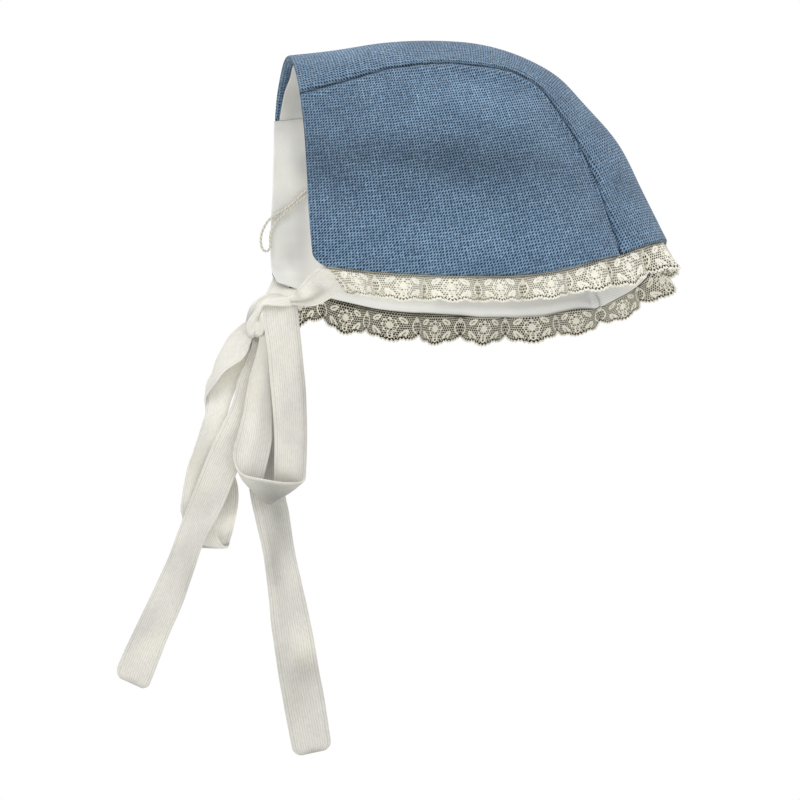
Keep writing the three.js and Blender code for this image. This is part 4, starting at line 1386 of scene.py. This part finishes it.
@dataclass(frozen=True)
class Knot:
    """The bow's knot: a bunched core, the tape that wraps across it and a fold that hangs from it."""

    # The knot's tapes are painted lighter, as painted light
    tapes: tuple[Tape, ...] = (
        KNOT_TAPE(KNOT_WRAP, part="wrap", slack=0.25, seed=21, shaded=(0.0, 0.1), tone=(1.22, 1.22)),
        KNOT_TAPE(
            KNOT_FOLD,
            part="fold",
            creases=(Crease(0.55, 0.16, -0.8, 0.12, 0.34, 0.1), Crease(0.25, 0.12, 0.5, 0.3, 0.8)),
            slack=0.5, seed=22, shaded=(0.0, 0.5), tone=(1.22, 1.1),
        ),
    )
    folds: int = 5  # soft folds round the core
    fold_depth: float = 0.07
    fold_turn: float = 2.2  # how far they turn from end to end
    blunt: float = 0.7  # the share of its half length after which the core closes
    tip: float = 0.999  # how far its ends close towards a point
    sides: int = 56
    stations: int = 70
    girth: float = 14.0  # the core's flat cloth
    length: float = 24.0
    fold_dark: Pair = (0.55, 8.0)  # painted shade in the core's folds: how deep in a fold it starts, and how fast it grows
    end_dark: Triple = (0.45, 0.8, 0.9)  # painted shade towards the core's lower end: from where and to where along it, and how much
    # Painted light: the whole core is painted lighter
    tone: float = 0.58

    def path(self) -> Array:
        """The core's path: x, y, z, half its height across the path and half its depth."""
        rows = [
            [-60.5, 0, -113.6, 2.4, 4.5],
            [-63, 0, -113.8, 4.2, 7.4],
            [-67, 0, -114.8, 5.6, 8.8],
            [-71.5, 0, -117.2, 5.4, 8.2],
            [-74, 0, -121.5, 4.2, 6.4],
            [-74.6, 0, -127, 3.6, 5],
            [-74.8, 0, -133.5, 2.2, 3],
        ]
        return rows_between(np.array(rows), np.linspace(0, 1, self.stations) * (len(rows) - 1))

    def core(self, wardrobe: Wardrobe, finish: Finish) -> None:
        """Makes the core, a tube of ellipses with soft folds, which round caps close."""
        rows = self.path()
        share = np.linspace(0, 1, self.stations)
        cap = np.clip((np.abs(2 * share - 1) - self.blunt) / (1 - self.blunt), 0, self.tip)
        turn = np.linspace(0, FULL_TURN, self.sides, endpoint=False)[None, :]
        phase = self.folds * turn + self.fold_turn * share[:, None]
        fold = (1 + self.fold_depth * np.sin(phase)) * np.sqrt(1 - cap**2)[:, None]
        rings = rings_round(rows[:, :3], rows[:, 3:4] * fold, rows[:, 4:5] * fold)
        ones = np.ones(phase.shape)
        around = np.linspace(0, self.girth, self.sides, endpoint=False)[None, :] * ones
        # Painted shade in the folds and towards the lower end
        shade = np.clip(-np.sin(phase) - self.fold_dark[0], 0, 1) * self.fold_depth * self.fold_dark[1]
        start, end, most = self.end_dark
        shade = np.maximum(shade, smoothstep(start, end, share[:, None] * ones) * most)
        flat = np.stack([around, share[:, None] * self.length * ones], axis=-1).reshape(-1, 2) * METRE
        values = {"seam": shade.ravel(), "tone": self.tone * ones.ravel()}
        piece = make_piece("bow_knot_core", rings.reshape(-1, 3), tube(rings), {"cloth": flat}, values)
        wardrobe.dress(piece, finish, "bow_knot")

    def build(self, wardrobe: Wardrobe, finish: Finish) -> None:
        """Makes the core, then the tapes."""
        self.core(wardrobe, finish)
        for tape in self.tapes:
            tape.build(wardrobe, finish)


@dataclass(frozen=True)
class HangLoop:
    """The thread loop: one thread sewn to the right lining at both ends."""

    diameter: float = 1.1
    twist: float = 1.9  # how far one turn of the plies runs
    waist: float = 0.74  # radius between the plies, as a share of the thread's
    swell: float = 0.3  # how much more it is on top of a ply
    sides: int = 12
    stations: int = 420

    def route(self) -> Array:
        """Even steps along the thread, from one sewn end to the other."""
        rows = [
            [-37.4, 37.4, -46.7], [-40, 37.7, -49], [-42.6, 38, -51.2], [-47.8, 38.4, -54.9],
            [-51.2, 38.8, -58], [-54.6, 39.3, -61.6], [-59, 39.7, -64.6], [-62.4, 39.9, -67.1],
            [-64.3, 40, -68.9], [-65.9, 40.2, -71.6], [-67, 40.5, -74.6], [-67.3, 40.8, -78.1],
            [-66.5, 41, -81.1], [-64.8, 41.1, -82.1], [-63.4, 41.1, -80.8], [-63.1, 41, -78.4],
            [-63.2, 40.8, -75.8], [-62.6, 40.5, -72.6], [-60.3, 40.3, -68.8], [-56.7, 39.8, -64.9],
            [-52, 39.4, -60.6], [-47.3, 38.9, -57], [-42.5, 38.6, -53.3], [-38.2, 38.3, -50.1],
        ]
        path = rows_between(np.array(rows), np.linspace(0, len(rows) - 1, self.stations))
        run = run_lengths(path, 0)
        even = np.linspace(0, run[-1], self.stations)
        return np.stack([np.interp(even, run, column) for column in path.T] + [even], axis=-1)

    def build(self, wardrobe: Wardrobe, finish: Finish) -> None:
        """A tube whose section has two bulges, for the two plies, that turn as it goes along."""
        route = self.route()
        path, run = route[:, :3], route[:, 3:]
        turn = np.linspace(0, FULL_TURN, self.sides, endpoint=False)[None, :]
        bulge = np.abs(np.cos(turn - FULL_TURN / 2 * run / self.twist))
        radius = self.diameter / 2 * (self.waist + self.swell * bulge)
        rings = rings_round(path, radius, radius)
        flat = np.stack(np.broadcast_arrays(turn * self.diameter / 2, run), axis=-1)
        maps = {"cloth": flat.reshape(-1, 2) * METRE}
        piece = make_piece(
            "hang_loop_thread", rings.reshape(-1, 3), tube(rings), maps, {"relief": bulge.ravel()}
        )
        wardrobe.dress(piece, finish, "hang_loop")


# ---------- Lace ----------


@dataclass(frozen=True)
class LacePattern:
    """A flat flower edging, as how far inside its threads each point of the strip lies.

    s runs along the lace and t down from its heading. The motif is a flower between leaves, then an arch
    with a bud. All of it repeats with the period, and three scallops end each repeat.
    """

    period: float = 27.0
    drop: float = 12.0
    net_count: int = 26  # net holes in a period
    net_rows: float = 0.92  # from one row of net holes to the next
    net_hole: float = 0.36
    flower_t: float = 4.7
    flower_radius: float = 3.1
    petal_depth: float = 0.35
    petals: int = 8
    ring_radius: float = 2.0
    ring_holes: int = 8
    ring_hole: float = 0.62
    ring_phase: float = 0.25  # where its first hole lies, in holes
    stem: Pair = (1.2, 6.0)  # half its width, and how far it runs down from the flower's middle
    stem_holes: Triple = (3.3, 4.5, 0.5)  # how far down both lie, and their radius
    leaves: tuple[tuple[float, ...], ...] = (  # distance from the flower, distance down, tilt and half axes
        (5.3, 7.8, -0.7, 2.8, 1.35),
        (5.1, 2.2, 0.5, 2.4, 1.15),
    )
    slit: Pair = (0.32, 0.26)  # how slim a leaf's slit is, and half its width
    fan_t: float = 5.0
    fan_size: Pair = (3.7, 3.0)
    fan_line: float = 0.45  # half the width of its outline
    fan_count: int = 19  # the fan's own net is coarser
    fan_hole: float = 0.49
    bud: Triple = (3.1, 1.3, 0.4)  # how far above the fan's middle, its half height and its hole's radius
    scallops: int = 3
    scallop_depth: float = 1.2
    scallop_power: float = 0.7  # makes the scallops full and the notches between them sharp
    short: float = 1.5  # how much less the lace drops between flowers
    picots: int = 18
    picot_height: float = 0.8
    beads: int = 24
    bead_hole: float = 0.46
    bead_rise: float = 1.25  # how far above the edge the beads' holes lie
    border: Pair = (1.1, 0.85)  # how far above the edge the border's line lies, and half its width
    brim: float = 0.5  # width of the plain brim
    cut: Pair = (-0.06, 0.14)  # from where outside to where inside a thread its side rises

    def repeat(self, s: Array, count: float, phase: float = 0.0) -> Array:
        """Distance along s to the nearest of count marks in each period."""
        pitch = self.period / count
        return (np.mod(s / pitch + phase + 0.5, 1) - 0.5) * pitch

    def lower_edge(self, s: Array) -> Array:
        """Where the lace ends: the drop, less a notch between each two scallops and each two picots."""
        wave = np.abs(np.cos(math.pi * self.repeat(s, self.scallops, 0.5) / self.period * self.scallops))
        picot = np.abs(np.cos(math.pi * s / self.period * self.picots))
        between = 0.5 + 0.5 * np.cos(FULL_TURN * s / self.period)
        notch = self.scallop_depth * (1 - wave**self.scallop_power) + self.picot_height * (1 - picot)
        return self.drop - notch - self.short * between

    def net(self, s: Array, t: Array, count: int, hole: float) -> Array:
        """Distance outside the nearest of the round holes, of which count lie in each staggered row."""
        rows = self.net_rows * self.net_count / count
        row = np.round(t / rows)
        return np.hypot(self.repeat(s, count, 0.5 * np.mod(row, 2)), t - row * rows) - hole

    def leaf(self, s: Array, t: Array, way: int, leaf: tuple[float, ...]) -> Array:
        """A filled ellipse with a slit.

        Args:
            s: Distance along the lace.
            t: Distance down from the heading.
            way: 1 for the leaf ahead of the flower and -1 for the one behind it.
            leaf: One of leaves.

        Returns:
            How far inside it each point lies.
        """
        at, down, tilt, long, wide = leaf
        x, y = way * self.repeat(s, 1, 0.5) - at, t - down
        along = x * math.cos(tilt) + y * math.sin(tilt)
        over = -x * math.sin(tilt) + y * math.cos(tilt)
        body = (1 - np.hypot(along / long, over / wide)) * wide
        slit = np.hypot(along * self.slit[0], over) - self.slit[1]
        return np.minimum(body, slit)

    def flower(self, s: Array, t: Array) -> Array:
        """A filled flower with a ring of holes, and a stem with two more."""
        x, y = self.repeat(s, 1, 0.5), t - self.flower_t
        angle, radial = np.arctan2(y, x), np.hypot(x, y)
        body = self.flower_radius + self.petal_depth * np.cos(self.petals * angle) - radial
        spoke = FULL_TURN / self.ring_holes
        off = (np.mod(angle / spoke + self.ring_phase, 1) - 0.5) * spoke
        ring = np.hypot(radial * np.cos(off) - self.ring_radius, radial * np.sin(off)) - self.ring_hole
        half, long = self.stem
        body = np.maximum(body, np.where((y > 0) & (y < long), half - np.abs(x), body))
        *downs, hole = self.stem_holes
        for down in downs:
            ring = np.minimum(ring, np.hypot(x, y - down) - hole)
        return np.minimum(body, ring)

    def inside(self, s: Array, t: Array) -> Array:
        """How far inside a thread a point lies, and below 0 how far outside.

        The ground is net. A fan of coarser net, with an outline and a bud on top, fills the middle
        between two flowers. The flowers, leaves and border are the greatest of their own distances.

        Args:
            s: Distance along the lace.
            t: Distance down from the heading.

        Returns:
            The distances, cut by the holes along the edge.
        """
        edge = self.lower_edge(s)
        x, y = self.repeat(s, 1, 0.0), t - self.fan_t
        fan = (np.hypot(x / self.fan_size[0], y / self.fan_size[1]) - 1) * self.fan_size[1]
        coarse = self.net(s, t, self.fan_count, self.fan_hole)
        up, size, hole = self.bud
        bud = np.minimum(size - np.hypot(x / size, y + up), np.hypot(x, y + up) - hole)
        parts = [
            np.where(fan < 0, coarse, self.net(s, t, self.net_count, self.net_hole)),
            self.flower(s, t),
            self.fan_line - np.abs(fan),
            bud,
            self.border[1] - np.abs(edge - self.border[0] - t),
            t - edge + self.brim,
        ]
        parts += [self.leaf(s, t, way, leaf) for leaf in self.leaves for way in (-1, 1)]
        bead = np.hypot(self.repeat(s, self.beads), t - edge + self.bead_rise) - self.bead_hole
        return np.minimum(np.maximum.reduce(parts), bead)

    def relief(self, s: Array, t: Array, swollen: Array) -> Array:
        """How far a point stands out, from 0 in a hole to 1 on top of a thread, once threads have swollen."""
        return smoothstep(*self.cut, self.inside(s, t) + swollen)


@dataclass(frozen=True)
class NeckEdge:
    """The neck edge from the left front corner round the back to the right one."""

    shape: HoodShape
    side_share: float = 0.37  # share of the edge along one side panel
    back_reach: float = 0.97
    depth: float = 2.05  # between outer cloth and lining
    stations: int = 1400
    softening: int = 25
    panel_step: Pair = (0.0, 0.01)  # steps in both parameters that lead up from the edge
    band_step: Pair = (0.02, 0.0)

    def table(self) -> Array:
        """The edge at even shares of its length, softened where one panel meets the next.

        Returns:
            Nine columns, as frame gives them.
        """
        share = np.linspace(0, 1, self.stations)
        columns = []
        for side in Side:
            rib = self.shape.panel_end * np.minimum(share, 1 - share) / self.side_share
            rib = np.minimum(rib, self.shape.panel_end)
            panel = partial(self.shape.panel, side=side)
            columns.append(self.frame(panel, rib, np.ones_like(rib), self.panel_step))
        across = np.clip((share - 0.5) / (0.5 - self.side_share), -self.back_reach, self.back_reach)
        back = self.frame(self.shape.band, self.shape.last_rib + 0 * across, across, self.band_step)
        is_back = (np.abs(share - 0.5) < 0.5 - self.side_share)[:, None]
        rows = np.where(is_back, back, np.where((share < 0.5)[:, None], columns[0], columns[1]))
        kernel = np.ones(2 * self.softening + 1) / (2 * self.softening + 1)
        padded = np.pad(rows, ((self.softening, self.softening), (0, 0)), mode="reflect", reflect_type="odd")
        rows = np.stack([np.convolve(column, kernel, "valid") for column in padded.T], axis=-1)
        run = run_lengths(rows[:, :3], 0)
        return np.stack([np.interp(share * run[-1], run, column) for column in rows.T], axis=-1)

    def frame(self, surface: Surface, p: Array, q: Array, back: Pair) -> Array:
        """Place, normal and direction of fall on one surface.

        Args:
            surface: The surface.
            p: Its first parameter.
            q: Its second parameter.
            back: The step in both parameters that leads up from the edge.

        Returns:
            Nine columns.
        """
        normal = self.shape.normals(surface, p, q)
        place = surface(p, q) - normal * self.depth
        above = surface(p - back[0], q - back[1]) - normal * self.depth
        fall = unit(unit(place - above) + np.array([0.0, 0.0, -1.0]))
        return np.concatenate([place, normal, fall], axis=-1)


@dataclass(frozen=True)
class Sway:
    """A sine wave along the lace."""

    height: float
    length: float  # for each radian
    phase: float = 0.0

    def at(self, s: Array) -> Array:
        """Its height at a place along the lace."""
        return self.height * np.sin(s / self.length + self.phase)


@dataclass
class Lace:
    """The gathered edging, in three lengths that meet in folds."""

    shape: HoodShape
    wardrobe: Wardrobe
    finish: Finish = LaceThread()
    pattern: LacePattern = LacePattern()
    cell: float = 0.218  # mesh size
    fullness: float = 1.32  # flat length for each length of neck edge
    left_start: float = 3.0  # how much of the neck edge each front corner leaves bare
    right_start: float = 8.0
    left_slant: float = 0.75  # how far the left end's edge runs back, per millimetre down
    slant_reach: float = 16.0
    flare: float = 2.5  # how far its lower edge stands out
    flare_power: float = 1.3
    squeeze: float = 1.5  # draws the lace together between flowers
    bunching: Sway = Sway(1.0, 6.1, 1.0)
    edge_bunching: Sway = Sway(0.9, 11.3, 0.6)  # grows towards the lower edge
    fold_depth: float = 4.0
    fold_sway: Sway = Sway(0.3, 15.1, 2.0)  # how unevenly the folds stand out
    short_sway: Sway = Sway(0.25, 7.7)
    edge_ripple: Sway = Sway(0.2, 1.6)  # grows towards the lower edge
    valley_round: float = 0.006  # rounds the folds' valleys
    heading_ease: float = 1.5  # over how far below the hem the folds set in
    heading: float = 2.2  # how far it reaches up between the outer cloth and the lining
    heading_share: float = 0.3  # share of the folds' depth that remains at the hem
    thread: float = 0.3  # least thickness
    fold_shade: float = 0.42  # painted shade in the valleys of its folds
    valley_reach: float = 0.34  # how wide that darkness is, as the cosine of the fold's turn
    valley_top: float = 0.4  # the share of it that shows at the hem
    end_shades: Pair = (0.4, 1.5)  # how much of it both ends have
    under_hem: Triple = (-0.5, 1.5, 0.3)  # from where to where down, and by how much, the hem shades it
    tuck_shade: Pair = (5.0, 0.6)  # how far the right end is shaded by the hood, and how much
    left_hole_light: float = 0.16  # how much less painted shade the left end's holes have, where the lining lies behind them
    swollen: Pair = (0.03, -0.07)  # how much thicker both ends' threads are; below 0 the painted dark holes grow, which paints that end darker
    droops: tuple[Triple, ...] = ((0.36, 0.24, 0.05), (0.59, -0.28, 0.055), (0.972, 0.4, 0.012))  # see hung
    raised: float = 0.35  # how much thicker it is on top of a thread
    solid: float = 0.94  # the share of the flat strip that its scalloped edge leaves

    def hung(self, s: Array, t: Array, whole: float, length: float, table: Array) -> Array:
        """Where a point of the flat lace hangs: each flower on the crest of a fold, each arch in a valley.

        The fold stands out by its depth times 2|cos| - 1 of half a turn for each repeat, so that its
        crests are round and its valleys sharp. A droop is a share of the edge, how much longer the lace
        hangs there, and that bell's reach.

        Args:
            s: Distance along the flat lace.
            t: Distance down it.
            whole: The flat lace's length.
            length: The neck edge's length.
            table: The neck edge at even shares.

        Returns:
            The points.
        """
        turn = FULL_TURN * (s / self.pattern.period - 0.5)
        share = np.clip(t / self.pattern.drop, 0, None)
        grow = self.heading_share * smoothstep(0, self.heading_ease, t) + (1 - self.heading_share) * share
        uneven = 1 + self.fold_sway.at(s) + self.short_sway.at(s) + self.edge_ripple.at(s) * share
        along = s / whole * (length - self.left_start - self.right_start) + self.left_start
        along = along + self.squeeze * np.sin(turn)
        along = along + self.bunching.at(s) + self.edge_bunching.at(s) * share
        along = along + self.left_slant * t * bell(s, self.slant_reach)
        rows = rows_between(table, along / length * (len(table) - 1))
        droop = 1 + sum(change * bell(along / length - where, reach) for where, change, reach in self.droops)
        crest = 2 * np.sqrt(np.cos(turn / 2) ** 2 + self.valley_round) - 1
        level = unit(rows[..., 3:6] * np.array([1, 1, 0.0]))
        out = self.flare * share**self.flare_power + self.fold_depth * uneven * crest * grow
        return rows[..., :3] + rows[..., 6:9] * (t * droop)[..., None] + level * out[..., None]

    def build(self) -> None:
        """Makes the three lengths, cut where a repeat begins."""
        table = NeckEdge(self.shape).table()
        length = float(run_lengths(table[:, :3], 0)[-1])
        whole = (length - self.left_start - self.right_start) * self.fullness
        repeats = round(whole / self.pattern.period)
        cuts = [0.0, repeats // 3 * self.pattern.period, repeats * 2 // 3 * self.pattern.period, whole]
        for name, begin, end in zip(("lace_left", "lace_back", "lace_right"), cuts, cuts[1:]):
            self.make(name, begin, end, whole, length, table)

    def light(self, s: Array, t: Array, whole: float) -> Array:
        """How light the lace is painted, less the painted shade of its folds, the hem and the tuck at its
        right end.

        A fold's valley is a bell of the cosine of the fold's turn, which grows down the lace, with the
        folds' depth and from the left end to the right one.

        Args:
            s: Distance along the flat lace.
            t: Distance down it.
            whole: The flat lace's length.

        Returns:
            The lightness, at most 1.
        """
        valley = bell(np.cos(math.pi * (s / self.pattern.period - 0.5)), self.valley_reach)
        valley = np.clip(valley * (self.valley_top + (1 - self.valley_top) * t / self.pattern.drop), 0, 1)
        valley = valley * (1 - self.fold_sway.height + self.fold_sway.at(s))
        shade = self.fold_shade * np.interp(s / whole, (0, 1), self.end_shades)
        high, low, hem = self.under_hem
        reach, tuck = self.tuck_shade
        light = (1 - shade * valley) * (1 - hem + hem * smoothstep(high, low, t))
        return light * (1 - tuck * bell(whole - s, reach))

    def make(self, name: str, begin: float, end: float, whole: float, length: float, table: Array) -> None:
        """Makes the lace between two places along it, raised along its threads.

        Args:
            name: The piece's name.
            begin: Where it begins along the flat lace.
            end: Where it ends.
            whole, length, table: As hung has them.
        """
        s = np.linspace(begin, end, round((end - begin) / self.cell) + 1)[:, None]
        share = np.linspace(0, 1, round((self.pattern.drop + self.heading) / self.cell) + 1)[None, :]
        t = share * (self.pattern.lower_edge(s) + self.heading) - self.heading
        s = s * np.ones_like(t)
        middle = self.hung(s, t, whole, length, table)
        least = self.left_hole_light * (1 - s / whole)
        relief = least + (1 - least) * self.pattern.relief(s, t, np.interp(s / whole, (0, 1), self.swollen))
        # Painted shade from the folds, the hem and the tuck goes into the relief, which colours the lace
        relief = relief * self.light(s, t, whole)
        half = rolled(Edges.of(middle).nearest(), self.thread + self.raised * relief, self.cell)
        flat = np.stack([s, t], axis=-1)
        piece = closed_cloth(name, middle, grid_normals(middle), half, flat, {"relief": relief})
        self.wardrobe.dress(piece, self.finish, "lace_trim")


# ---------- Stage ----------


@dataclass(frozen=True)
class Studio:
    """Camera, floor and light. Lengths are in metres."""

    target: Triple = (-0.0128, 0.0, -0.1531)
    distance: float = 1.5
    azimuth: float = -9.0
    elevation: float = -10.0
    frame_width: float = 0.336  # what the frame takes in at the target
    sensor: float = 36.0  # millimetres
    sight: float = 100.0  # how far the camera sees
    floor_height: float = -0.45
    floor_size: float = 30.0
    floor_fade: Pair = (0.7, 4.0)  # from where and to where it passes into the surround
    floor_tint: str = "#f4f4f2"
    floor_roughness: float = 0.9
    floor_glow: float = 0.65  # how strongly the faded floor lights the hat
    surround_light: float = 0.7  # how strongly the surround does
    lamp_distance: float = 1.6
    lamps: tuple[tuple[Any, ...], ...] = (  # name, azimuth, elevation, power, size and colour
        ("key", -28.0, 38.0, 7.0, 0.9, "#fffdf9"),
        ("fill", 30.0, 14.0, 1.5, 0.6, "#f8faff"),
        ("top", 120.0, 68.0, 6.0, 1.0, "#ffffff"),
    )

    def direction(self, azimuth: float, elevation: float) -> Vector:
        """Towards a light or camera: azimuth 0 is -Y and 90 is +X."""
        a, e = math.radians(azimuth), math.radians(elevation)
        return Vector((math.sin(a) * math.cos(e), -math.cos(a) * math.cos(e), math.sin(e)))

    def aimed(self, data: bpy.types.ID, azimuth: float, elevation: float, distance: float) -> Piece:
        """Puts a camera or light where it looks at the hat.

        Args:
            data: The camera or light.
            azimuth: Its direction round the hat, in degrees.
            elevation: Its height above level, in degrees.
            distance: How far off it is.

        Returns:
            Its object.
        """
        holder = bpy.data.objects.new(data.name, data)
        way = self.direction(azimuth, elevation)
        holder.location = Vector(self.target) + way * distance
        holder.rotation_euler = way.to_track_quat("Z", "Y").to_euler()
        bpy.context.scene.collection.objects.link(holder)
        return holder

    def camera(self) -> None:
        """Places the camera."""
        data = bpy.data.cameras.new("camera")
        data.sensor_width = self.sensor
        data.lens = self.sensor * self.distance / self.frame_width
        data.clip_end = self.sight
        holder = self.aimed(data, self.azimuth, self.elevation, self.distance)
        bpy.context.scene.camera = holder

    def lamp(self, name: str, azimuth: float, elevation: float, power: float, size: float, tint: str) -> None:
        """Adds a square soft light that faces the hat."""
        data = bpy.data.lights.new(name, "AREA")
        data.energy = power
        data.size = size
        data.color = colour(tint)[:3]
        self.aimed(data, azimuth, elevation, self.lamp_distance)

    def glow(self, tree: Tree, kind: str, light: float) -> Socket:
        """White that is seen at full strength and lights the hat with less."""
        seen = add_node(tree, "LightPath")
        strength = add_node(tree, "MapRange", {"Value": seen, "To Min": light, "To Max": 1.0})
        return add_node(tree, kind, {"Color": (1, 1, 1, 1), "Strength": strength})

    def floor(self) -> None:
        """A pale matt floor that passes into the white surround with distance, so no horizon shows.

        How far it has passed is a smooth step of the distance from the hat, and what it passes into
        is as bright as the surround, to the eye and as a light alike.
        """
        half = self.floor_size / 2 / METRE
        places = np.array([[-half, -half, 0], [half, -half, 0], [half, half, 0], [-half, half, 0]], float)
        places[:, 2] = self.floor_height / METRE
        piece = make_piece("floor", places, np.array([[0, 1, 2, 3]]))
        material = bpy.data.materials.new("pale matt floor")
        material.use_nodes = True
        tree = material.node_tree
        shader = tree.nodes["Principled BSDF"]
        shader.inputs["Base Color"].default_value = colour(self.floor_tint)
        shader.inputs["Roughness"].default_value = self.floor_roughness
        place = add_node(tree, "TexCoord", out="Object")
        away = add_node(tree, "VectorMath", (place,), out="Value", operation="LENGTH")
        gone = add_node(tree, "MapRange", (away, *self.floor_fade), interpolation_type="SMOOTHSTEP")
        glow = self.glow(tree, "Emission", self.floor_glow)
        mixed = add_node(tree, "MixShader", (gone, shader.outputs[0], glow))
        tree.links.new(mixed, tree.nodes["Material Output"].inputs["Surface"])
        piece.data.materials.append(material)

    def world(self) -> None:
        """A plain white surround that lights the hat less than it shines."""
        world = bpy.data.worlds.new("white surround")
        world.use_nodes = True
        tree = world.node_tree
        tree.nodes.clear()
        add_node(tree, "OutputWorld", {"Surface": self.glow(tree, "Background", self.surround_light)})
        bpy.context.scene.world = world

    def build(self) -> None:
        """Makes the whole stage."""
        self.camera()
        self.floor()
        self.world()
        for lamp in self.lamps:
            self.lamp(*lamp)
        bpy.context.scene.view_settings.view_transform = "Standard"


def main() -> None:
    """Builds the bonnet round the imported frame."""
    logging.basicConfig(level=logging.INFO, format="%(name)s: %(message)s")
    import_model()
    Studio().build()
    wardrobe = Wardrobe()
    HangLoop().build(wardrobe, SewingThread())
    shape = HoodShape()
    Hood(shape, wardrobe).build()
    Lace(shape, wardrobe).build()
    Knot().build(wardrobe, RibbedTape())
    for tape in TAPES:
        tape.build(wardrobe, RibbedTape())


if __name__ == "__main__":
    main()
